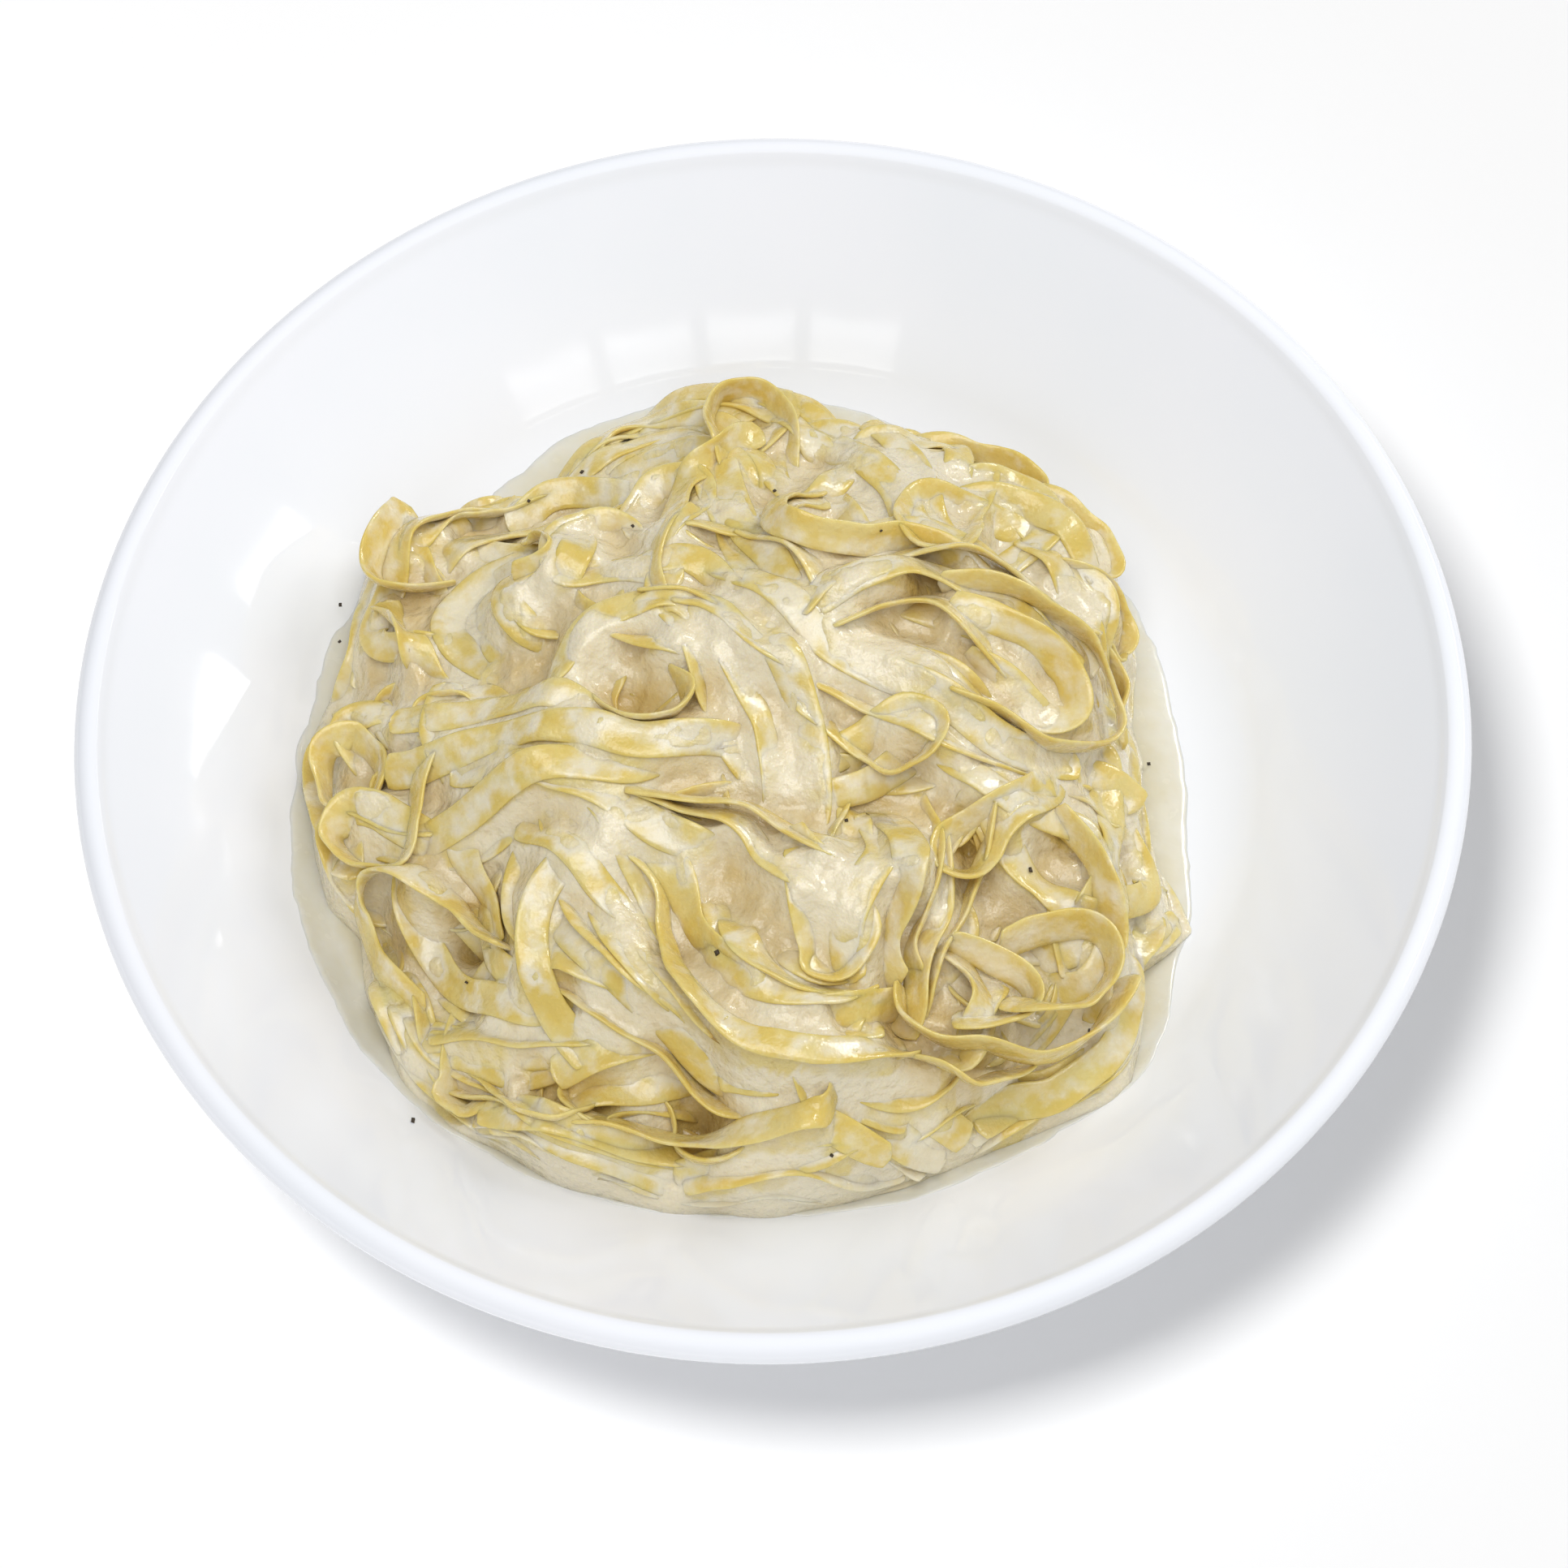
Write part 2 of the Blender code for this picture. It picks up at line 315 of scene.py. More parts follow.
def plate_section():
    """Rows of radius and height: the upper face, the lip as part of an ellipse, the underside."""
    flat, corner = [6, 20, 40, 60, 75, 82], np.linspace(WELL_RADIUS, 102, 26)
    upper = np.concatenate([flat, corner, np.linspace(103, LIP_INNER_RADIUS, 22)])
    turn = np.radians(np.linspace(125, -70, 30))
    lip_r = PLATE_RADIUS - LIP_HALF_WIDTH + LIP_HALF_WIDTH * np.cos(turn)
    lip_z = float(well_z(LIP_INNER_RADIUS)) - 0.4 * LIP_HALF_HEIGHT + LIP_HALF_HEIGHT * np.sin(turn)
    under = np.linspace(132, 99, 12)
    under_z = well_z(under) - WALL_THICKNESS / math.cos(WALL_SLOPE)
    radius = np.concatenate([upper, lip_r, under])
    height = np.concatenate([well_z(upper), lip_z, under_z])
    return np.concatenate([np.stack([radius, height], -1), np.array(FOOT_SECTION)])


def turned(section, steps):
    """Each row of the section carried round the axis, with one point on the axis at each end."""
    angle = np.linspace(0, 2 * np.pi, steps, endpoint=False)
    radius, height = section[:, :1], section[:, 1:]
    rings = [radius * np.cos(angle), radius * np.sin(angle), height + 0 * angle]
    rings = np.stack(rings, -1).reshape(-1, 3)
    count = len(rings)
    points = np.concatenate([rings, [[0, 0, section[0, 1]], [0, 0, section[-1, 1]]]])
    first, last = np.arange(steps), np.arange(count - steps, count)
    ends = np.concatenate([fan(count, first, True), fan(count + 1, last, False)])
    return points, grid_quads(len(section), steps, True), ends


new_piece("plate_glazed", *turned(plate_section(), PLATE_STEPS), glaze.material, "white_glaze", "plate")

# %% [markdown]
# ## A height map to lay noodles on
# Noodles lie on what is under them. The heap so far is kept as a map: for each half millimetre of the
# plate, the height of the highest thing there. A noodle is laid on the map, and then drawn into it, so
# that the next one lies on top. A cloth simulation could drop the noodles too, but would lay them where
# it likes, and would take far longer. The map starts as the CAD heap, sunk by what will lie on it.

# %% The map and its tools
# The width of a cell and half the width of the map, in mm.
PITCH, REACH = 0.5, 112.0
lines = np.arange(-REACH, REACH + PITCH / 2, PITCH)
map_x, map_y = np.meshgrid(lines, lines, indexing="ij")
map_r = np.hypot(map_x, map_y)


def look_up(field, x, y):
    """The map's value at any place, from its four nearest cells by their shares."""
    u = np.clip((x + REACH) / PITCH, 0, len(lines) - 1.001)
    v = np.clip((y + REACH) / PITCH, 0, len(lines) - 1.001)
    i, j = u.astype(int), v.astype(int)
    u, v = u - i, v - j
    near = field[i, j] * (1 - v) + field[i, j + 1] * v
    far = field[i + 1, j] * (1 - v) + field[i + 1, j + 1] * v
    return near * (1 - u) + far * u


def blur(field, size):
    """The map smoothed by a Gaussian of that standard deviation in mm, through its spectrum."""
    across = np.fft.fftfreq(len(lines), PITCH)[:, None]
    along = np.fft.rfftfreq(len(lines), PITCH)[None, :]
    keep = np.exp(-2 * (np.pi * size) ** 2 * (across**2 + along**2))
    return np.fft.irfft2(np.fft.rfft2(field) * keep, field.shape)


def swell(field, bend, reach):
    """Each place takes the highest of its neighbours less the drop of a parabola of that bend."""
    cells = int(reach / PITCH)
    drops = (np.arange(-cells, cells + 1) * PITCH) ** 2 / (2 * bend)
    for _ in range(2):
        padded = np.pad(field, ((cells, cells), (0, 0)), mode="edge")
        field = np.max([padded[k : k + len(field)] - drop for k, drop in enumerate(drops)], axis=0).T
    return field


def fill_gaps(field, bend, reach):
    """What a round body of radius bend can't reach from above is filled."""
    return -swell(-swell(field, bend, reach), bend, reach)


LATTICE = 64


def lattice_noise(x, y, size, seed):
    """Smooth noise from -1 to 1: random numbers on a square lattice, eased between its corners."""
    table = np.random.default_rng(seed).uniform(-1, 1, (LATTICE, LATTICE))
    u, v = np.asarray(x) / size + 32.37, np.asarray(y) / size + 32.71
    i, j = np.floor(u).astype(int), np.floor(v).astype(int)
    u, v = u - i, v - j
    u, v = u * u * (3 - 2 * u), v * v * (3 - 2 * v)

    def corner(right, up):
        """The random number so many places right and up of each point, repeating after the last."""
        return table[(i + right) % LATTICE, (j + up) % LATTICE]

    near = corner(0, 0) * (1 - v) + corner(0, 1) * v
    return near * (1 - u) + (corner(1, 0) * (1 - v) + corner(1, 1) * v) * u


# %% The heap's own shape from the CAD node
# In mm: how far the CAD heap is sunk to make room for the noodles, the least height that they lie on, and
# the pool's level.
CORE_SINK, BED_Z, POOL_Z = 13.2, 8.8, 10.0
CAST_STEP = 4
heap_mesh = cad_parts["fettuccine_heap"].data
heap_sides = [side.vertices for side in heap_mesh.polygons]
heap_tree = BVHTree.FromPolygons([corner.co for corner in heap_mesh.vertices], heap_sides)


def cad_height(x, y):
    """Height in mm of the CAD heap straight below a point, or 0 beside it."""
    hit = heap_tree.ray_cast(Vector((x * MM, y * MM, 0.2)), Vector((0, 0, -1)))[0]
    return hit.z / MM if hit else 0.0


coarse = lines[::CAST_STEP]
cast = np.array([[cad_height(x, y) for y in coarse] for x in coarse])
rows = np.array([np.interp(lines, coarse, row) for row in cast])
cad_map = np.array([np.interp(lines, coarse, column) for column in rows.T]).T
core = blur(cad_map, 3.0)
bed = np.maximum(well_z(map_r) + 0.3, BED_Z)
height = np.maximum(core - CORE_SINK, bed)
# A second map takes only the tapes that lie fairly flat: the cream's surface is worked out from it.
carrier = height.copy()
print("CAD heap up to", round(cad_map.max(), 1), "mm; the map starts at", round(height.max(), 1))

# %% The heap's outline
# Angle in degrees and reach in mm of the heap's edge.
OUTLINE = (
    (179, 94), (-158, 90), (-135, 99), (-115, 98), (-87, 95), (-64, 92), (-46, 97), (-34, 84), (-24, 89),
    (-15, 76), (-9, 73), (8, 72), (32, 82), (58, 80), (72, 73), (91, 86), (106, 90), (128, 82), (146, 95),
    (162, 91),
)


def outline_radius(angle):
    """The heap's reach at an angle in radians, between the listed reaches."""
    known = np.array(sorted(OUTLINE), float)
    return np.interp(np.degrees(angle), known[:, 0], known[:, 1], period=360)


# %% [markdown]
# ## One noodle
# Fettuccine is a flat tape, here about 7 mm wide and 1.2 mm thick. Its route over the plate is a few
# points: x and y in mm, how far the tape is rolled about its own length in degrees, where 0 lies flat and
# 90 stands on edge, and how far it is lifted in mm. A roll or lift that a row leaves out is 0. A smooth
# curve goes through the points. A curve object with a bevel could carry the section too, but it wouldn't
# rest on what is below. Here the map's highest place under the tape carries it, and along its length the
# tape is too stiff to follow every dip.

# %% The route of a noodle
NOODLE_WIDTH, NOODLE_THICKNESS = 7.4, 1.2
STEP_ALONG = 0.9


def full_rows(rows):
    """Rows of x, y, roll and lift, with 0 for a roll or lift that isn't given."""
    return np.array([(*row, 0, 0)[:4] for row in rows], float)


def smooth_route(rows):
    """A Catmull-Rom curve through the rows, resampled to even steps by its length."""
    rows = full_rows(rows)
    padded = np.concatenate([[2 * rows[0] - rows[1]], rows, [2 * rows[-1] - rows[-2]]])
    t = np.linspace(0, 1, 20, endpoint=False)[:, None]
    a, b, c, d = padded[:-3, None], padded[1:-2, None], padded[2:-1, None], padded[3:, None]
    curve = b + 0.5 * t * (c - a + t * (2 * a - 5 * b + 4 * c - d + t * (3 * (b - c) + d - a)))
    curve = np.concatenate([curve.reshape(-1, 4), rows[-1:]])
    length = np.concatenate([[0], np.cumsum(np.hypot(*np.diff(curve[:, :2], axis=0).T))])
    even = np.linspace(0, length[-1], max(int(length[-1] / STEP_ALONG), 6) + 1)
    return np.stack([np.interp(even, length, column) for column in curve.T], -1)


def sideways(line):
    """The level direction across a line at each of its points: its heading, a quarter turn to the left."""
    along = np.gradient(line, axis=0)
    along /= np.hypot(*along.T)[:, None]
    return np.stack([-along[:, 1], along[:, 0]], -1)


def beside(rows, offset, roll, skew):
    """A route that runs beside another: moved across by offset mm, turned by skew and rolled more."""
    rows = full_rows(rows)
    rows[:, :2] += offset * sideways(rows[:, :2])
    rows[:, 2] += roll
    middle = rows[:, :2].mean(0)
    turn = np.array([[math.cos(skew), math.sin(skew)], [-math.sin(skew), math.cos(skew)]])
    rows[:, :2] = middle + (rows[:, :2] - middle) @ turn
    return rows


# %% Stiffness
LEAST_BEND = 14.0


def ease(values, size):
    """Values along a route, each the Gaussian average of those within about size mm."""
    place = np.arange(len(values)) * STEP_ALONG
    weight = np.exp(-0.5 * ((place[:, None] - place) / size) ** 2)
    return weight @ values / weight.sum(1)


def span(values, bend):
    """A tape with least bending radius bend, laid along these heights, bridges the dips."""
    place = np.arange(len(values)) * STEP_ALONG
    drop = (place[:, None] - place) ** 2 / (2 * bend)
    raised = (values[None, :] - drop).max(1)
    return (raised[None, :] + drop).min(1)


def slow_noise(place, row, size, seed):
    """Noise along a tape: one row of the lattice noise, with size mm between its random numbers."""
    return lattice_noise(place, place * 0 + row, size, seed)


# %% The lie of a noodle
# How far a tape wanders from its route, and how far its ends dive into the heap, in mm.
WANDER, END_DIVE = 1.6, 3.5


def centre_line(rows, seed, width):
    """The route, moved sideways by slow noise and drawn in where the tape would leave the outline."""
    route = smooth_route(rows)
    place = np.arange(len(route)) * STEP_ALONG
    for _ in range(2):
        side = sideways(route[:, :2])
        route[:, :2] += WANDER / 2 * side * slow_noise(place, 3, 13, seed + 4)[:, None]
    room = outline_radius(np.arctan2(route[:, 1], route[:, 0])) - 0.2 * width
    squeeze = np.minimum(1, room / (np.hypot(route[:, 0], route[:, 1]) + 1e-6))
    route[:, :2] *= ease(squeeze, 5)[:, None]
    return place, side, route


def tilt_on_map(line, side, roll, half):
    """The roll, and for a tape that lies flat the slope of the map across it as well."""
    reach = 0.7 * half[:, None] * side
    rise = look_up(height, *(line + reach).T) - look_up(height, *(line - reach).T)
    lean = ease(np.clip(np.arctan2(rise, 1.4 * half), -0.9, 0.9), 6)
    return roll + lean * np.cos(roll) ** 2


def rest_on_map(line, side, tilt, half):
    """Height of the middle: the least that keeps nine places across on the map, bridged and eased."""
    across = np.linspace(-1, 1, 9) * half[:, None]
    under_x = line[:, :1] + across * (side[:, :1] * np.cos(tilt)[:, None])
    under_y = line[:, 1:] + across * (side[:, 1:] * np.cos(tilt)[:, None])
    carried = look_up(height, under_x, under_y) - across * np.sin(tilt)[:, None]
    z = carried.max(1) + NOODLE_THICKNESS / 2 * np.cos(tilt)
    return ease(span(z, LEAST_BEND) - 0.4 * half * np.abs(np.sin(tilt)), 2.2)


# %% The tape's section
# Places round the section, from -1 at the left edge to 1 at the right: over the top, then back below.
FACE_PLACES = np.array([-0.94, -0.72, -0.36, 0, 0.36, 0.72, 0.94])
RING_PLACES = np.concatenate([[-1.0], FACE_PLACES, [1.0], FACE_PLACES[::-1]])
RING_SIDES = np.concatenate([[0], np.ones(7), [0], -np.ones(7)])
RING = len(RING_PLACES)


def tape_points(centre, side, tilt, half, cup, wave, tip):
    """At each place of the centre line, a thin section with round edges, cupped by the square of the place
    across and waved by its signed square, in the plane that the line passes through squarely."""
    forward = np.gradient(centre, axis=0)
    forward /= np.linalg.norm(forward, axis=1)[:, None]
    wide = np.concatenate([side * np.cos(tilt)[:, None], np.sin(tilt)[:, None]], -1)
    wide -= (wide * forward).sum(1)[:, None] * forward
    wide /= np.linalg.norm(wide, axis=1)[:, None]
    up = np.cross(forward, wide)
    thick = NOODLE_THICKNESS / 2 * RING_SIDES * np.sqrt(1 - np.abs(RING_PLACES) ** 5)
    bent = cup[:, None] * RING_PLACES**2 + wave[:, None] * RING_PLACES * np.abs(RING_PLACES)
    return (
        centre[:, None]
        + wide[:, None] * (RING_PLACES * (half * tip)[:, None])[..., None]
        + up[:, None] * (bent + thick * tip[:, None])[..., None]
    )


def draw(points, flat):
    """Fills in the tape's upper face between its points and raises the maps to it."""
    fine = np.linspace(0, len(points) - 1, 4 * len(points))
    i = np.minimum(fine.astype(int), len(points) - 2)
    share = (fine - i)[:, None, None]
    face = points[:, :9]
    rows = face[i] * (1 - share) + face[i + 1] * share
    step = np.linspace(0, 8, 33)
    j = np.minimum(step.astype(int), 7)
    share = (step - j)[None, :, None]
    dense = rows[:, j] * (1 - share) + rows[:, j + 1] * share
    u = np.clip(np.rint((dense[..., 0] + REACH) / PITCH).astype(int), 0, len(lines) - 1)
    v = np.clip(np.rint((dense[..., 1] + REACH) / PITCH).astype(int), 0, len(lines) - 1)
    np.maximum.at(height, (u, v), dense[..., 2])
    low = flat[i]
    np.maximum.at(carrier, (u[low], v[low]), dense[low][..., 2])


# %% Laying a noodle
laid = []


def lay(rows, seed, width=NOODLE_WIDTH, curl=0.5, kind="noodles", twist=0.42):
    """One tape: its centre line, then slow noise for roll, width, cup and wave, then its height from the
    map, less a bell at each end. Its points are kept for the mesh and drawn into the map."""
    place, side, route = centre_line(rows, seed, width)
    line = route[:, :2]
    roll = np.radians(route[:, 2]) + twist * slow_noise(place, seed, 15, seed)
    half = width / 2 * (1 + 0.1 * slow_noise(place, 0, 18, seed + 1))
    tilt = tilt_on_map(line, side, roll, half)
    z = rest_on_map(line, side, tilt, half) + route[:, 3]
    to_end = np.minimum(place, place[-1] - place)
    z -= END_DIVE * np.exp(-((to_end / 8) ** 2))
    cup = curl * (0.5 + slow_noise(place, 5, 22, seed + 2))
    wave = 0.5 * slow_noise(place, 9, 10, seed + 3) + 0.25 * slow_noise(place, 7, 4, seed + 5)
    tip = np.clip(to_end / 1.6, 0, 1)
    tip = np.sqrt(1 - (1 - tip) ** 2) * 0.75 + 0.25
    points = tape_points(np.concatenate([line, z[:, None]], -1), side, tilt, half, cup, wave, tip)
    draw(points, np.abs(np.sin(tilt)) < 0.6)
    laid.append((points, kind))


def lay_group(routes, seed):
    """Lays each route, rolled a little, and before it one or two that run beside it, rolled much more."""
    rng = np.random.default_rng(seed)
    for number, rows in enumerate(routes):
        way = rng.choice([-1, 1])
        for turn in range(rng.choice([1, 1, 2])):
            near = beside(rows, way * rng.uniform(3.5, 8.5), rng.uniform(-55, 55), rng.normal(0, 0.14))
            lay(near, seed + 300 * (turn + 1) + number, width=rng.uniform(5.6, 7.4))
            way = -way
        lay(beside(rows, 0, rng.normal(0, 16), 0), seed + number)


# %% [markdown]
# ## The noodles underneath
# Below the noodles that catch the eye lie others, glimpsed in every gap. They could be placed by hand as
# well, but nobody looks for any one of them, so they are strewn from fixed seeds: each starts somewhere in
# the heap and wanders along an arc, bending now left, now right.

# %% Noodles at random
# How many noodles, and the steps of their routes in mm.
UNDER_COUNT, STRIDE = 64, 12


def strewn(seed, low, high):
    """A wandering arc: its heading turns at a slowly changing rate, and it keeps inside the heap."""
    rng = np.random.default_rng(seed)
    angle = rng.uniform(-np.pi, np.pi)
    start = rng.uniform(low, high) * outline_radius(angle)
    x, y = start * np.cos(angle), start * np.sin(angle)
    heading = angle + np.pi / 2 * rng.choice([-1, 1]) + rng.normal(0, 0.5)
    bend = rng.normal(0, 0.028)
    rows = []
    for _ in range(rng.integers(6, 11)):
        rows.append((x, y, rng.normal(0, 9)))
        heading += STRIDE * bend
        bend += rng.normal(0, 0.012)
        x, y = x + STRIDE * np.cos(heading), y + STRIDE * np.sin(heading)
        limit = 0.93 * outline_radius(np.arctan2(y, x))
        away = np.hypot(x, y)
        if away > limit:
            x, y = x * limit / away, y * limit / away
            outward = np.arctan2(y, x)
            heading = outward + np.pi / 2 * np.sign(np.sin(heading - outward) + 1e-6)
    return rows


for number in range(UNDER_COUNT):
    lay(strewn(100 + number, 0.1, 0.95), 500 + number, kind="under")
print("strewn noodles:", UNDER_COUNT, "map up to", round(height.max(), 1))

# %% [markdown]
# ## The noodles that are seen
# The noodles that catch the eye follow listed routes, from the edge of the heap upwards, and each
# has one or two strewn beside it. More are strewn on the heap's flank and between its layers, because a
# real heap has no bare places. Every table below holds routes, and each innermost bracket is one point.

# %% Round the edge of the heap
EDGE_NOODLES = (
    ((-80, -48), (-76, -64), (-66, -78), (-52, -86), (-36, -90), (-18, -91)),
    ((-46, -90), (-26, -93, 8), (-6, -94), (11, -93, -8), (26, -88), (40, -82)),
    ((-80, -68), (-83, -54), (-80, -42), (-83, -30)),
    ((57, -24), (62, -34), (69, -41, 10), (77, -41, 20), (83, -37, 30)),
    ((34, -87), (49, -82), (62, -76), (72, -64)),
    ((-88, 34), (-83, 22), (-75, 11), (-66, 0)),
    ((-88, 6), (-79, 4), (-69, 8), (-62, -2)),
    ((-82, 38), (-73, 28), (-67, 17), (-60, 8)),
    ((-48, 60), (-38, 71), (-25, 77), (-12, 72), (-2, 62)),
    ((14, 62), (26, 62), (38, 56), (46, 44), (51, 30), (58, 14)),
    ((60, 18), (66, 8), (70, -4), (70, -18), (66, -30)),
    ((50, -70), (62, -72), (72, -64, 10), (76, -52, 20), (70, -44)),
    ((-63, -80, 0, 1), (-54, -85, 0, 1), (-43, -88, 0, 1), (-30, -89, 0, 1)),
    ((-60, -78), (-44, -85), (-28, -88), (-14, -88), (-2, -84), (8, -78)),
    ((-22, -92), (-8, -91, 0, 1), (5, -90, 0, 1), (16, -92), (24, -90)),
    ((-6, -88), (4, -86, 0, 1), (14, -81, 0, 1), (24, -82), (32, -86)),
)
lay_group(EDGE_NOODLES, 2000)

# %% On the heap's flank
GIRDLES, GIRDLE_LIFT = 34, -1.6


def girdle(seed):
    """A route along the heap's flank: the outline's radius less a slowly changing depth."""
    rng = np.random.default_rng(seed)
    start, steps = rng.uniform(0, 2 * np.pi), rng.integers(4, 8)
    angle = start + np.arange(steps) * 0.14
    depth = rng.uniform(3, 13) + np.cumsum(rng.normal(0, 2.2, steps))
    reach = outline_radius(angle) - np.clip(depth, 2, 18)
    rolls, lifts = rng.normal(0, 22, steps), np.full(steps, GIRDLE_LIFT)
    return np.stack([reach * np.cos(angle), reach * np.sin(angle), rolls, lifts], -1)


for number in range(GIRDLES):
    lay(girdle(2600 + number), 2700 + number, width=6.4)
print("edge routes:", len(EDGE_NOODLES), "flank noodles:", GIRDLES)

# %% Curled noodles
# How much a curl's radius grows in one turn, in mm.
COIL_GROWTH = 2.0


def coil(x, y, radius, turns, start, roll, lift=-3.5):
    """A route left round a centre, on an oval whose radius grows a little each turn. A short tail at each
    end runs straight on while its roll and lift fade."""
    count = max(int(9 * turns), 5)
    turn = np.linspace(0, turns, count)
    angle = np.radians(start) + 2 * np.pi * turn
    reach = (radius + COIL_GROWTH * turn) * (1 + 0.22 * np.cos(2 * angle + start))
    rows = [x + reach * np.cos(angle), y + reach * np.sin(angle), 0 * turn - roll, 0 * turn + lift]
    rows = np.stack(rows, -1)
    tails = []
    for end, inner in ((0, 1), (-1, -2)):
        away = rows[end, :2] - rows[inner, :2]
        away /= np.hypot(*away)
        for run, keep in ((8, 0.6), (18, 0.1)):
            tails.append([*(rows[end, :2] + run * away), keep * rows[end, 2], keep * lift])
    return np.concatenate([[tails[1], tails[0]], rows, [tails[2], tails[3]]])


LOW_CURLS = (
    coil(-85, -4, 8.5, 1.0, -60, 48, -2),
    coil(-82, -21, 8.0, 1.0, 20, 48, -2),
    coil(-62, -73, 6.0, 0.9, 150, 60),
    coil(-46, -76, 7.5, 0.8, 190, 60),
    coil(-34, -77, 7.0, 0.75, 30, 62),
    coil(-16, -80, 9.5, 0.62, 185, 62),
    coil(-74, -12, 6.0, 0.9, 90, 55),
    coil(-60, -32, 6.0, 0.9, 0, 55),
    coil(50, 58, 7.0, 0.8, -150, 62, -1),
    coil(64, 42, 8.0, 0.7, -170, 62, -1),
    coil(70, 26, 7.0, 0.8, -150, 62, -2),
    coil(64, 12, 6.0, 0.8, -200, 60, -2),
    coil(53, -36, 6.5, 0.8, 60, 58),
    coil(-72, 8, 6.0, 0.8, 0, 55),
)
for number, rows in enumerate(LOW_CURLS):
    lay(rows, 800 + number, curl=0.2)
print("low curls:", len(LOW_CURLS))

# %% The lower layers of the heap
LOWER_NOODLES = (
    ((-71, -63), (-58, -69), (-48, -72), (-38, -72), (-28, -69), (-17, -66)),
    ((-70, -60), (-58, -64, 10), (-48, -66), (-37, -66), (-26, -63)),
    ((-45, -75), (-34, -73), (-24, -70), (-13, -67), (-2, -66)),
    ((15, -70), (22, -77), (29, -83), (37, -88)),
    ((36, -86), (45, -80), (56, -77), (66, -70), (70, -58), (64, -52)),
    ((26, -4), (36, -13), (44, -21), (53, -26), (60, -34), (63, -44), (66, -56)),
    ((29, -13), (36, -20), (43, -27), (46, -38), (44, -50)),
    ((-38, 55), (-28, 64), (-16, 66), (-6, 57), (-1, 44)),
    ((-64, -3), (-54, 3), (-43, 1), (-34, -6), (-24, -12)),
    ((-57, 22), (-46, 18), (-36, 17), (-28, 22), (-20, 20)),
    ((-64, -13), (-59, -23), (-56, -35), (-50, -47)),
    ((-58, -60), (-51, -55, 0, 2), (-43, -54, 0, 4), (-35, -58, 0, 3), (-25, -64, 0, 1), (-15, -70),
     (-4, -76), (8, -79)),
    ((-50, -14), (-48, -28), (-50, -40), (-47, -49), (-37, -55)),
    ((-42, -18), (-43, -36), (-39, -49), (-31, -58), (-21, -65, 0, 1), (-11, -72, 0, 1), (0, -77),
     (12, -82), (24, -85)),
    ((8, -47), (10, -38), (18, -34), (28, -38)),
    ((-12, -36), (-1, -42), (12, -41), (22, -38)),
)
BETWEEN_COUNT = 50
lay_group(LOWER_NOODLES, 4000)
for number in range(BETWEEN_COUNT):
    rows = [(x, y, 3 * roll) for x, y, roll in strewn(1400 + number, 0.1, 0.85)]
    lay(rows, 1500 + number, width=6.8, twist=0.6)
print("lower routes:", len(LOWER_NOODLES), "strewn over them:", BETWEEN_COUNT)

# %% The sweeping arcs and the crown
UPPER_NOODLES = (
    ((-40, 44), (-50, 40), (-60, 33), (-64, 24), (-58, 14), (-48, 7)),
    ((-36, 38), (-45, 32), (-53, 26), (-50, 17), (-42, 14)),
    ((-49, 46), (-42, 44, 0, 1), (-37, 34, 0, 2), (-41, 26, 0, 1), (-49, 23)),
    ((-42, -18), (-33, -28), (-26, -40), (-22, -51), (-17, -61), (-10, -69), (-1, -74), (10, -75),
     (20, -72)),
    ((-27, -31), (-19, -40), (-15, -51), (-11, -60), (-4, -67), (5, -70), (15, -69), (24, -64)),
    ((-9, -46), (-7, -56), (-1, -62), (8, -65), (17, -62)),
    ((0, -50), (3, -57), (9, -60), (16, -57)),
    ((-64, -12), (-50, -16), (-38, -22), (-27, -29), (-15, -35), (-4, -39)),
    ((-78, -7), (-66, -8), (-53, -8), (-40, -10, 0, 1), (-27, -15, 0, 1), (-15, -15, 0, 1), (-2, -14)),
    ((-8, 58), (-5, 44), (-1, 29), (4, 17), (11, 7, 0, 1), (16, -2)),
    ((-26, 20), (-16, 20), (-8, 13), (0, 5), (8, -4)),
    ((18, 1), (30, -4), (40, -13), (51, -18), (63, -18), (69, -24)),
    ((-12, 28), (-3, 22), (5, 12), (15, 4), (27, -2), (38, -10), (49, -15), (61, -14)),
    ((15, 65), (21, 58, 0, 1), (26, 46, 0, 1), (31, 34, 0, 1), (40, 25, 0, 1), (49, 17, 0, 1),
     (57, 9, 0, 1), (64, 0)),
    ((12, 48), (4, 43, 0, 1), (2, 34, 0, 1), (9, 28, 0, 1), (19, 28, 0, 1), (27, 31, 0, 1), (36, 28, 0, 1),
     (45, 19, 0, 1), (54, 11, 0, 1), (61, 2)),
    ((8, 14), (19, 20, 0, 1), (31, 22, 0, 1), (42, 18, 0, 1), (52, 11), (61, 3)),
    ((36, 14, 20), (44, 13, 30, 1), (52, 8, 40, 1), (59, 2, 40, 1), (60, -5, 40, 1), (54, -7, 40, 1),
     (47, -1, 30), (39, 5, 10)),
    ((-3, 9), (3, -2), (6, -11, 0, 1), (7, -21), (7, -31)),
    ((-29, -22), (-17, -25, 0, 1), (-5, -28, 0, 3), (3, -34, 0, 3), (12, -38, 0, 1), (23, -37)),
    ((31, -24), (31, -38), (30, -51), (27, -63), (22, -71)),
    ((20, -25), (25, -36, 0, 1), (24, -47, 0, 1), (22, -55, 0, 1), (24, -62, 0, 1)),
)
lay_group(UPPER_NOODLES, 6000)
print("upper routes:", len(UPPER_NOODLES))

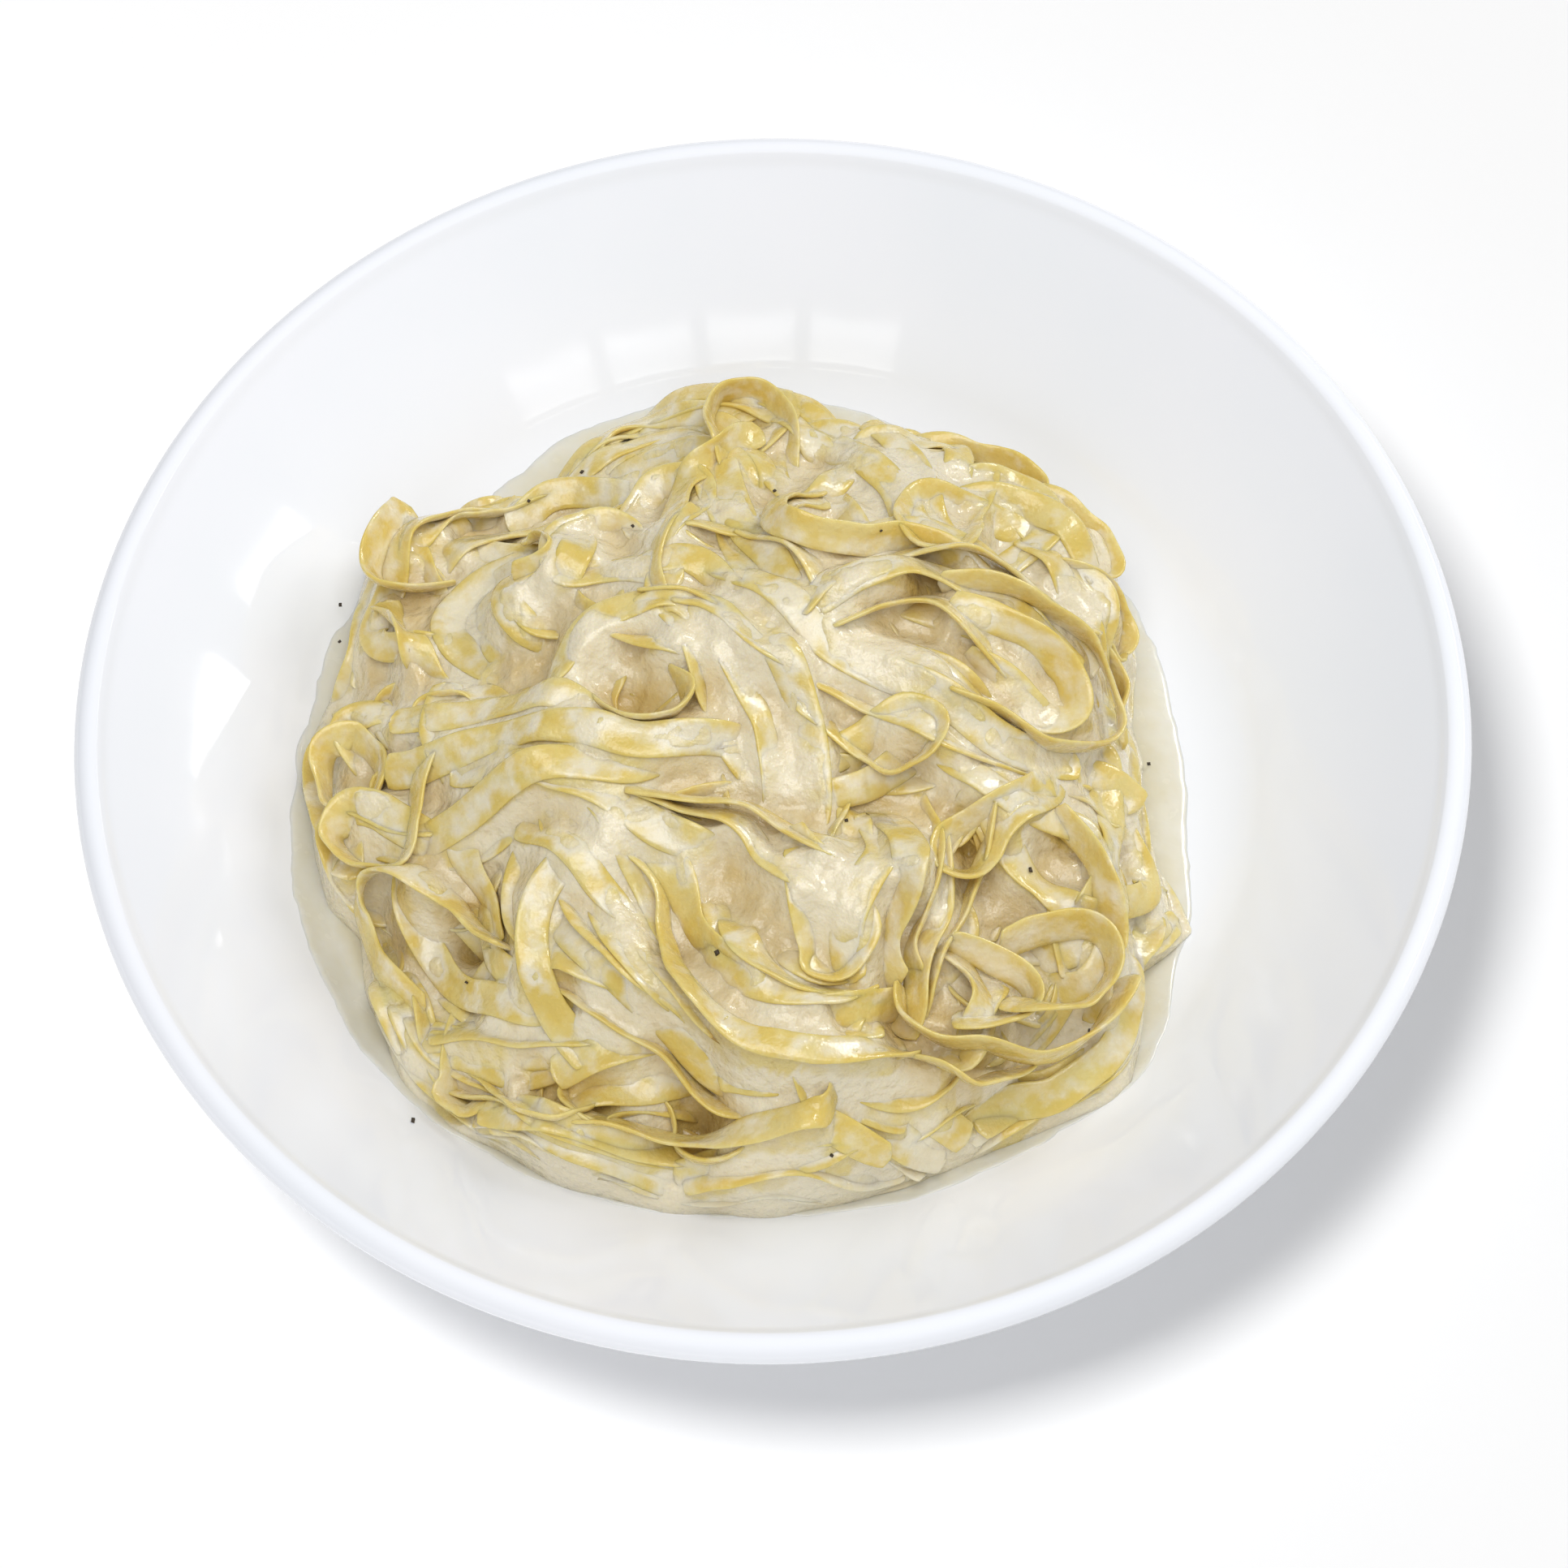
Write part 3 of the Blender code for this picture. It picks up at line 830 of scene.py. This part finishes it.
# %% Noodles on edge
EDGEWISE = (
    ((-6, 56, 30, -2), (-10, 68, 60, -2), (-8, 78, 60, -1), (0, 80, 60, -1), (5, 72, 60, -2),
     (4, 58, 20, -3)),
    ((-78, 60, -66, 1), (-82, 50, -66, 1), (-81, 39, -66, 1), (-74, 36, -66, 1), (-64, 38, -66)),
    ((-34, -1, -60, 1), (-28, -8, -60, 2), (-19, -10, -60, 3), (-15, -5, -60, 3), (-19, 2, -60, 1)),
    ((55, -26, 60), (61, -34, 60), (64, -43, 60), (66, -55, 60)),
    ((24, -74, -64), (31, -80, -64, 1), (37, -83, -64, 1), (44, -79, -64, 1), (49, -72, -64)),
    ((22, -62, -68, 1), (24, -70, -68, 1), (32, -75, -68, 1), (43, -75, -68, 1), (54, -73, -68, 1),
     (63, -67, -68, 1), (69, -57, -68)),
    ((33, -53, 66), (42, -56, 66, 1), (48, -61, 66, 1), (48, -67, 66, 1), (41, -71, 66), (33, -71, 66)),
    ((43, -54, 66), (52, -51, 66, 1), (61, -51, 66, 1), (65, -58, 66, 1), (60, -66, 66, 1),
     (51, -69, 66, 1), (43, -66, 40)),
    ((-53, -51, 58), (-62, -40, 58, 1), (-72, -33, 58, 2), (-82, -29, 58, 2), (-87, -35, 58, 1),
     (-82, -46, 58), (-71, -56, 58)),
)
for number, rows in enumerate(EDGEWISE):
    lay(rows, 1100 + number, curl=0.2)
TOP_CURLS = (
    coil(-20, 46, 6.5, 0.9, -40, 42),
    coil(-34, 34, 6.0, 0.8, -20, 48),
    coil(35, 37, 6.5, 0.9, 60, 36),
    coil(25, -15, 5.0, 0.9, 200, 45),
    coil(38, -34, 5.0, 0.8, 80, 55),
    coil(10, -56, 5.0, 0.7, 180, 40),
    coil(-85, -4, 7.0, 0.95, -60, 40, -1),
    coil(-82, -21, 6.5, 0.95, 20, 40, -1),
)
for number, rows in enumerate(TOP_CURLS):
    lay(rows, 1200 + number, curl=0.2)
print("on edge:", len(EDGEWISE) + len(TOP_CURLS), "map up to", round(height.max(), 1))

# %% [markdown]
# ## Cream between the noodles
# Cream clings in every narrow groove and stands lower in the wide ones. A fluid simulation could run it in,
# but it would end up level. So its surface is worked out from the map: each gap that a small ball couldn't
# reach into is filled and sunk a little, so that the noodles' backs stand out. Wider hollows are filled up
# to a few millimetres below the rounded heap. In some places the cream has drowned the noodles, in some it
# leaves a dark opening, and a thin uneven coat lies over the rest.

# %% Where the cream is deep, and where it is open
# Centre, reach and depth in mm of each place where the cream lies deep.
DROWNED = (
    (-50, 30, 11, 1.8), (-35, 8, 9, 2.0), (-14, 2, 10, 1.8), (4, -20, 9, 1.6), (10, -47, 8, 1.8),
    (-22, 38, 8, 1.6), (22, 8, 9, 1.5), (66, 22, 7, 1.6), (32, 52, 8, 1.6), (-34, -33, 7, 1.4),
    (40, -62, 7, 1.6), (-84, -14, 7, 1.6), (-66, 12, 7, 1.0), (68, -34, 8, 1.0),
)
# Centre, reach and depth in mm of each opening that stays dark.
HOLLOWS = (
    (38, -33, 3, 6), (-42, -60, 3, 3), (-59, -43, 4, 5), (-36, -79, 4, 4), (-16, -83, 4.5, 5),
    (-46, -78, 4, 3), (-6, 70, 4, 5), (-38, 28, 3, 3), (-30, 17, 3.5, 3), (37, -80, 4, 4), (23, -69, 3, 3),
    (-48, -17, 3.5, 4), (-77, -38, 5, 3), (-27, -5, 4, 3), (-63, -74, 3.5, 3), (57, -30, 3, 4),
    (30, 17, 3, 3),
)


def bells(x, y, table):
    """The sum of one Gaussian bell for each row of centre, reach and depth."""
    total = np.zeros_like(x)
    for centre_x, centre_y, reach, depth in table:
        total += depth * np.exp(-((x - centre_x) ** 2 + (y - centre_y) ** 2) / (reach**2))
    return total


# %% The cream's surface
# The ball that fills narrow grooves, how far the cream sinks in them, and how far below the rounded heap
# it may lie in wide ones, in mm. Then the mean and the swing of the coat's thickness.
CREAM_BALL, CREAM_SINK, DEEPEST = 3.4, 1.0, 2.8
COAT_MEAN, COAT_SWING = -0.22, 1.3


def map_noise(*layers):
    """The sum of layers of noise over the map, each given as strength, size and seed."""
    return sum(strength * lattice_noise(map_x, map_y, size, seed) for strength, size, seed in layers)


round_heap = fill_gaps(carrier, 12.0, 7.0)
for low_r, high_r in ((0, 30), (30, 60), (60, 80), (80, 95)):
    band = (map_r > low_r) & (map_r < high_r) & (cad_map > 11)
    print("radius", low_r, high_r, "above the CAD heap by", round(float((height - core)[band].mean()), 2))
inside = outline_radius(np.arctan2(map_y, map_x)) - map_r
drowned = bells(map_x, map_y, DROWNED)
wavy = map_noise((0.7, 7, 11), (0.6, 2.6, 12))
cream = fill_gaps(carrier, CREAM_BALL, 4.0) - CREAM_SINK + 0.5 * wavy + 0.9 * drowned
cream = np.maximum(cream, round_heap - DEEPEST * np.clip(inside / 8, 0.7, 1) + wavy)
coat = map_noise((0.45, 13, 14), (0.3, 5, 15), (0.25, 2.2, 16))
coat = COAT_MEAN + COAT_SWING * coat + 0.5 * drowned - np.clip(1 - inside / 12, 0, 1.5)
cream = np.maximum(cream, blur(carrier, 0.6) + np.minimum(coat, 0.6))
cream -= bells(map_x, map_y, HOLLOWS)
# Where the surface is steeper than 45 degrees it is smoothed more.
steep = np.clip(np.hypot(*np.gradient(blur(cream, 1.0), PITCH)) - 1.0, 0, 1)
cream = blur(cream, 0.5) * (1 - steep) + blur(cream, 1.8) * steep
cream_depth = blur(cream - carrier, 0.9)
cream_sunk = blur(round_heap - cream, 1.5)
print("cream up to", round(cream.max(), 1), "mm")


# %% The cream's mesh
# This depth sets the painted shade of the pasta and the cream: darker gold where deep, brown where deepest.
def depth_in_heap(points, sunk):
    """How far a point is sunk under the heap's rounded outside, from 0, less towards the heap's edge."""
    away = np.hypot(points[:, 0], points[:, 1])
    inside = outline_radius(np.arctan2(points[:, 1], points[:, 0])) - away
    return np.clip((sunk - 0.8) / 4.0, 0, 1.6) * np.clip((inside + 3) / 9, 0, 1)


def rim_noise(angle, radius, size, seed):
    """Noise along an edge that runs round at a radius, so that it closes on itself."""
    return lattice_noise(np.cos(angle) * radius, np.sin(angle) * radius, size, seed)


# The squares along one side of the cream's grid, its underside's rings as shares of its rim, and how far
# they lie below the plate's face in mm.
CREAM_SIDE = 280
UNDER_RINGS = np.array([1.0, 0.97, 0.94, 0.91, 0.88, 0.85, 0.8])[:, None]
UNDER_GAP = 0.8


def cream_top():
    """A square grid eased into a disc, then out to the heap's uneven outline: its height is the cream's,
    and comes down to just under the pool or the plate along a quarter of an ellipse at the rim."""
    even = np.linspace(-1, 1, CREAM_SIDE + 1)
    u, v = np.meshgrid(even, even, indexing="ij")
    disc_x, disc_y = u * np.sqrt(1 - v * v / 2), v * np.sqrt(1 - u * u / 2)
    angle = np.arctan2(disc_y, disc_x)
    share = np.hypot(disc_x, disc_y)
    reach = outline_radius(angle) + 2.5 + 1.5 * rim_noise(angle, 90, 9, 21)
    x, y = share * reach * np.cos(angle), share * reach * np.sin(angle)
    ground = np.maximum(well_z(np.hypot(x, y)) - 0.3, POOL_Z - 0.9)
    edge = np.clip((1 - share) * reach / 4.0, 0, 1)
    z = ground + (np.maximum(look_up(cream, x, y), ground) - ground) * np.sqrt(edge * (2 - edge))
    return np.stack([x, y, z], -1).reshape(-1, 3)


def cream_piece():
    """The top, then rings below it that follow the well from the rim inwards, and a fan to the middle."""
    top = cream_top()
    number = np.arange(len(top)).reshape(CREAM_SIDE + 1, CREAM_SIDE + 1)
    rim = np.concatenate([number[:-1, 0], number[-1, :-1], number[:0:-1, -1], number[0, :0:-1]])
    below_x, below_y = UNDER_RINGS * top[rim, 0], UNDER_RINGS * top[rim, 1]
    below = np.stack([below_x, below_y, well_z(np.hypot(below_x, below_y)) - UNDER_GAP], -1)
    rings = np.arange(below.size // 3).reshape(len(UNDER_RINGS), -1) + len(top)
    rings = np.concatenate([rim[None], rings])
    after = np.roll(rings, -1, 1)
    skirt = np.stack([after[:-1], rings[:-1], rings[1:], after[1:]], -1).reshape(-1, 4)
    points = np.concatenate([top, below.reshape(-1, 3), [[0, 0, WELL_Z - UNDER_GAP]]])
    quads = np.concatenate([grid_quads(CREAM_SIDE + 1, CREAM_SIDE + 1), skirt])
    middle = fan(len(points) - 1, rings[-1], False)
    covered = look_up(cream_depth, points[:, 0], points[:, 1])
    sunk = look_up(cream_sunk, points[:, 0], points[:, 1])
    values = {"cream": np.clip(covered / 0.8 + 0.45, 0, 1.3), "deep": depth_in_heap(points, sunk)}
    name, node = "cream_on_noodles", "fettuccine_heap"
    new_piece(name, points, quads, middle, cream_finish, "cream_sauce", node, values)


cream_piece()

# %% [markdown]
# ## The noodles' mesh
# Each tape could be an object of its own, but one mesh for each layer is lighter to handle. A layer's
# points carry how much cream covers them: some smooth noise, more in the middle of a face than
# at its edges, and a full coat where they lie under the cream's surface.


# %% The noodles' mesh
def tape_mesh(name, tapes):
    """All the tapes as one mesh: rings of points joined along each, and a fan at each end."""
    points, quads, ends, start = [], [], [], 0
    for tape in tapes:
        rows = len(tape)
        middles = tape[[0, -1]].mean(1)
        points += [tape.reshape(-1, 3), middles]
        quads.append(grid_quads(rows, RING, True) + start)
        first, last = np.arange(RING) + start, np.arange(RING) + start + (rows - 1) * RING
        centre = start + rows * RING
        ends += [fan(centre, first, True), fan(centre + 1, last, False)]
        start = centre + 2
    points, quads, ends = np.concatenate(points), np.concatenate(quads), np.concatenate(ends)
    covered = look_up(cream, points[:, 0], points[:, 1]) - points[:, 2]
    sunk = look_up(round_heap, points[:, 0], points[:, 1]) - points[:, 2]
    across = 0.2 - 0.4 * np.abs(RING_PLACES) ** 4
    face = np.concatenate([np.append(np.tile(across, len(tape)), [0, 0]) for tape in tapes])
    coat = 0.16 + 0.6 * lattice_noise(points[:, 0] + 3 * points[:, 2], points[:, 1], 6, 31) + face
    coat = np.clip(coat + np.clip(covered + 0.6, 0, 1), 0, 1.3)
    values = {"cream": coat, "deep": depth_in_heap(points, sunk)}
    new_piece(name, points, quads, ends, pasta_finish, "egg_pasta", "fettuccine_heap", values)


under = [points for points, kind in laid if kind == "under"]
seen = [points for points, kind in laid if kind == "noodles"]
print("noodles underneath:", len(under), "noodles over them:", len(seen))
half_way = (len(under) + 1) // 2
tape_mesh("fettuccine_under_1", under[:half_way])
tape_mesh("fettuccine_under_2", under[half_way:])
quarter = (len(seen) + 3) // 4
for number, name in enumerate(("edge", "lower", "middle", "upper")):
    tape_mesh("fettuccine_" + name, seen[number * quarter : (number + 1) * quarter])

# %% [markdown]
# ## The pool
# Thin sauce stands level in the well. Where it has run up the corner it is only a film. A flat disc would
# be enough for the level part, but the uneven edge on the sloping corner needs a surface of its own.

# %% The pool's surface
# Angle in degrees and reach in mm of the pool's edge, then how many rings and steps its mesh has.
POOL_OUTLINE = (
    (131, 91), (116, 95), (98, 95), (86, 94), (72, 90), (61, 87), (30, 86), (6, 84), (-7, 85), (-19, 89),
    (-31, 93), (-44, 101), (-57, 99), (-78, 98), (-100, 99), (-120, 103), (-141, 104), (-160, 101),
    (180, 99), (165, 97), (150, 98),
)
POOL_RINGS, POOL_STEPS = 38, 300


def pool_surface():
    """Rings from the middle to an uneven edge: level, or a film over the plate, rounded at its rim. Below
    them the same rings lie just under the plate's face."""
    angle = np.linspace(-np.pi, np.pi, POOL_STEPS, endpoint=False)
    known = np.array(sorted(POOL_OUTLINE), float)
    reach = np.interp(np.degrees(angle), known[:, 0], known[:, 1], period=360)
    reach += 0.9 * rim_noise(angle, 95, 8, 41) + 0.4 * rim_noise(angle, 95, 3, 42)
    share = np.concatenate([np.linspace(0.05, 0.8, 12), np.linspace(0.82, 1, POOL_RINGS - 12)])[:, None]
    radius = share * reach
    x, y = radius * np.cos(angle), radius * np.sin(angle)
    ground = well_z(radius)
    level = POOL_Z + 0.08 * lattice_noise(x, y, 9, 43)
    film = 0.45 + 0.25 * lattice_noise(x, y, 7, 44)
    inside = (1 - share) * reach
    rim = np.clip(inside / 1.5, 0, 1)
    thick = np.minimum(np.maximum(level - ground, film), 0.35 + 0.13 * inside) * np.sqrt(rim * (2 - rim))
    z = ground + np.maximum(thick, -0.2 + 0.25 * rim)
    z[-1] = ground[-1] - 0.15
    lower = np.stack([x[::-1], y[::-1], ground[::-1] - 0.2], -1)
    return np.concatenate([np.stack([x, y, z], -1), lower]).reshape(-1, 3)


def pool_piece():
    """The surface with its two middles closed, and the share by which it is thinner than 1.6 mm."""
    points = pool_surface()
    count = len(points)
    points = np.concatenate([points, [[0, 0, POOL_Z], [0, 0, WELL_Z - 0.2]]])
    first, last = np.arange(POOL_STEPS), np.arange(count - POOL_STEPS, count)
    quads = grid_quads(2 * POOL_RINGS, POOL_STEPS, True)
    ends = np.concatenate([fan(count, first, True), fan(count + 1, last, False)])
    thin = np.clip(1 - (points[:, 2] - well_z(np.hypot(points[:, 0], points[:, 1]))) / 1.6, 0, 1)
    finish, name, node = pool_sauce.material, "alfredo_pool", "alfredo_sauce"
    new_piece(name, points, quads, ends, finish, "cream_sauce", node, {"film": thin})


pool_piece()

# %% [markdown]
# ## Pepper
# A few grains of ground black pepper: each is a small broken flake, a twisted block with its corners
# pushed in and out by different amounts. At half a millimetre nothing finer would be seen.

# %% Grains of pepper
# x and y in mm of each grain.
PEPPER_PLACES = (
    (-49, 58), (-38, 66), (-28, 74), (-7, 69), (-27, 40), (23, 30), (-89, 42), (-89, 33), (-90, 14),
    (37, -38), (50, -38), (77, 1), (9, -93), (-73, -78), (53, 10), (-62, -52), (14, -30), (-12, -58),
    (60, -70), (2, 50),
)
PEPPER_SEED = 71


def pepper_grains(places):
    """For each place one block of eight corners, scaled, twisted and uneven, on the surface there."""
    rng = np.random.default_rng(PEPPER_SEED)
    count = len(places)
    corner = np.array([(a, b, c) for a in (-1, 1) for b in (-1, 1) for c in (-1, 1)], float)
    size = rng.uniform(0.28, 0.55, (count, 1, 1)) * np.array([1, 0.8, 0.6])
    block = corner * size * rng.uniform(0.55, 1.15, (count, 8, 3))
    spin = rng.uniform(0, 2 * np.pi, (count, 1))
    x = block[..., 0] * np.cos(spin) - block[..., 1] * np.sin(spin)
    y = block[..., 0] * np.sin(spin) + block[..., 1] * np.cos(spin)
    centre = np.array(places, float)
    ground = np.maximum(look_up(height, *centre.T), look_up(cream, *centre.T))
    ground = np.maximum(ground, np.maximum(POOL_Z, well_z(np.hypot(*centre.T)) + 0.4))
    z = block[..., 2] + ground[:, None] + 0.15
    points = np.stack([x + centre[:, :1], y + centre[:, 1:], z], -1)
    sides = [(0, 1, 3, 2), (4, 6, 7, 5), (0, 4, 5, 1), (2, 3, 7, 6), (0, 2, 6, 4), (1, 5, 7, 3)]
    quads = (np.array(sides)[None] + 8 * np.arange(count)[:, None, None]).reshape(-1, 4)
    return points.reshape(-1, 3), quads, np.zeros((0, 3), int)


pepper = Shader("black_pepper")
set_surface(
    pepper,
    Base_Color=pepper.mix(pepper.noise(0.6), linear(40, 34, 28), linear(84, 70, 54)),
    Roughness=0.6,
    Normal=pepper.bump(pepper.noise(0.4), 0.1),
)
new_piece("pepper_grains", *pepper_grains(PEPPER_PLACES), pepper.material, None, None)

# %% [markdown]
# ## Light, floor and camera
# A plain white floor and wide soft lights, most of them from overhead, in a bright room. White on white
# needs care: a light that whitens the floor would burn out the plate and the food. So light linking gives
# the floor, the plate and the food lights of their own, and the glaze mirrors nothing but the room and the
# windows made further on. The camera looks down steeply through a long lens, which keeps the plate's oval
# regular.

# %% The floor
FLOOR_HALF = 3
floor_mesh = bpy.data.meshes.new("floor")
floor_corners = [(a * FLOOR_HALF, b * FLOOR_HALF, 0) for a, b in ((-1, -1), (1, -1), (1, 1), (-1, 1))]
floor_mesh.from_pydata(floor_corners, [], [(0, 1, 2, 3)])
white = Shader("floor_white")
floor_tone = white.mix(white.noise(90), linear(250, 250, 250), linear(248, 248, 248))
set_surface(white, Base_Color=floor_tone, Roughness=0.9)
floor_mesh.materials.append(white.material)
floor = bpy.data.objects.new("floor", floor_mesh)
bpy.context.scene.collection.objects.link(floor)


# %% Lights
def area_light(name, direction, distance, size, power, targets):
    """A rectangular light that looks at the plate from a direction and lights the targets only."""
    light = bpy.data.lights.new(name, "AREA")
    light.shape = "RECTANGLE"
    light.size, light.size_y = size
    light.energy = power
    lamp = bpy.data.objects.new(name, light)
    away = Vector(direction).normalized()
    lamp.location = away * distance
    lamp.rotation_euler = away.to_track_quat("Z", "Y").to_euler()
    bpy.context.scene.collection.objects.link(lamp)
    group = bpy.data.collections.new(name + "_targets")
    for thing in targets:
        group.objects.link(thing)
    lamp.light_linking.receiver_collection = group
    return lamp


dish = [thing for thing in bpy.context.scene.objects if thing.type == "MESH" and thing is not floor]
plate_only = [bpy.data.objects["plate_glazed"]]
food_only = [thing for thing in dish if thing not in plate_only]
# Name, direction, distance and sides in m, power in W, what it lights, and whether gloss mirrors it.
LIGHTS = (
    ("table_light", (-0.32, -0.05, 1.0), 3.0, (1.0, 1.0), 55, [floor], True),
    ("table_fill", (0.0, 0.0, 1.0), 3.0, (2.0, 2.0), 18, [floor], True),
    ("window", (0.60, 0.47, 0.66), 1.3, (0.22, 0.5), 5.0, food_only, True),
    ("front_fill", (-0.1, -0.75, 0.6), 1.6, (1.6, 1.6), 7, dish, False),
    ("overhead_food", (0.0, -0.12, 1.0), 1.5, (1.0, 1.0), 11, food_only, True),
    ("overhead_plate", (0.0, -0.12, 1.0), 1.5, (1.0, 1.0), 12, plate_only, False),
    ("side_light", (0.65, 0.45, 0.6), 1.3, (0.8, 0.8), 5.6, plate_only, False),
)
for name, direction, distance, size, power, targets, mirrored in LIGHTS:
    area_light(name, direction, distance, size, power, targets).visible_glossy = mirrored
bpy.data.lights["table_fill"].use_shadow = False
world = bpy.data.worlds.new("room")
world.use_nodes = True
room = world.node_tree.nodes["Background"].inputs
room["Color"].default_value = (1, 1, 1, 1)
room["Strength"].default_value = 0.3
bpy.context.scene.world = world
bpy.context.scene.view_settings.view_transform = "Standard"
print("lights:", len(LIGHTS))

# %% Camera
ELEVATION, DISTANCE, CAMERA_ROLL = math.radians(60.72), 1.1, math.radians(1.76)
TARGET = Vector((0, 0, 0.038))
SENSOR_MM, LENS_MM, SHIFT = 36, 125.9, (0.0079, -0.0453)
camera_data = bpy.data.cameras.new("camera")
camera_data.sensor_width, camera_data.lens = SENSOR_MM, LENS_MM
camera_data.shift_x, camera_data.shift_y = SHIFT
camera = bpy.data.objects.new("camera", camera_data)
camera.location = TARGET + DISTANCE * Vector((0, -math.cos(ELEVATION), math.sin(ELEVATION)))
turn = Matrix.Rotation(math.pi / 2 - ELEVATION, 4, "X") @ Matrix.Rotation(-CAMERA_ROLL, 4, "Z")
camera.rotation_euler = turn.to_euler()
bpy.context.scene.collection.objects.link(camera)
bpy.context.scene.camera = camera
print("camera at", [round(part, 3) for part in camera.location])

# %% [markdown]
# ## Windows in the glaze
# A glossy wall mirrors the room's windows. The law of reflection says where each must stand: choose the
# places on the wall where it's to be seen, and turn the line to the camera about the wall's normal. Each
# pane lights the glaze alone, and only as a mirror image, so it leaves no glow on the wall.

# %% Mirrored windows
WINDOW_DISTANCE = 1.3


def mirror_point(degrees, radius):
    """Where a window stands that is seen at this place of the wall: the view turned about the normal."""
    angle = math.radians(degrees)
    slope = math.atan(float(well_z(radius + 0.5) - well_z(radius - 0.5)))
    outward = Vector((math.cos(angle), math.sin(angle), 0))
    place = MM * (radius * outward + Vector((0, 0, float(well_z(radius)))))
    normal = Vector((0, 0, math.cos(slope))) - math.sin(slope) * outward
    view = (camera.location - place).normalized()
    return place + WINDOW_DISTANCE * (2 * normal.dot(view) * normal - view)


def window_pane(name, angles, radii, radiance):
    """A light whose corners are the mirror points of the patch between two angles and two radii."""
    corners = [[mirror_point(angle, radius) for radius in radii] for angle in angles]
    along = (corners[1][0] + corners[1][1] - corners[0][0] - corners[0][1]) / 2
    across = (corners[0][1] + corners[1][1] - corners[0][0] - corners[1][0]) / 2
    centre = (corners[0][0] + corners[0][1] + corners[1][0] + corners[1][1]) / 4
    away = along.cross(across).normalized()
    away = away if away.dot(centre) > 0 else -away
    first = along.normalized()
    second = away.cross(first)
    size_x, size_y = along.length, abs(across.dot(second))
    lamp = area_light(name, centre, 1.0, (size_x, size_y), radiance * math.pi * size_x * size_y, plate_only)
    lamp.location = centre
    lamp.rotation_euler = Matrix((first, second, away)).transposed().to_euler()
    lamp.visible_diffuse = False
    print(name, round(size_x, 3), "by", round(size_y, 3), "m")


# Name, the two angles in degrees and the two radii in mm of its image on the wall, and its brightness.
PANES = (
    ("pane_back", (149, 160), (107, 116), 9),
    ("pane_left_high", (168, 182), (109, 117), 9),
    ("pane_left_low", (183, 199), (109, 116), 9),
    ("pane_front", (202, 209), (108, 113), 7),
    *((f"slat_{n}", (74 + 12 * n, 84 + 12 * n), (101, 109), 2.2) for n in range(4)),
)
bpy.context.view_layer.update()
for pane in PANES:
    window_pane(*pane)
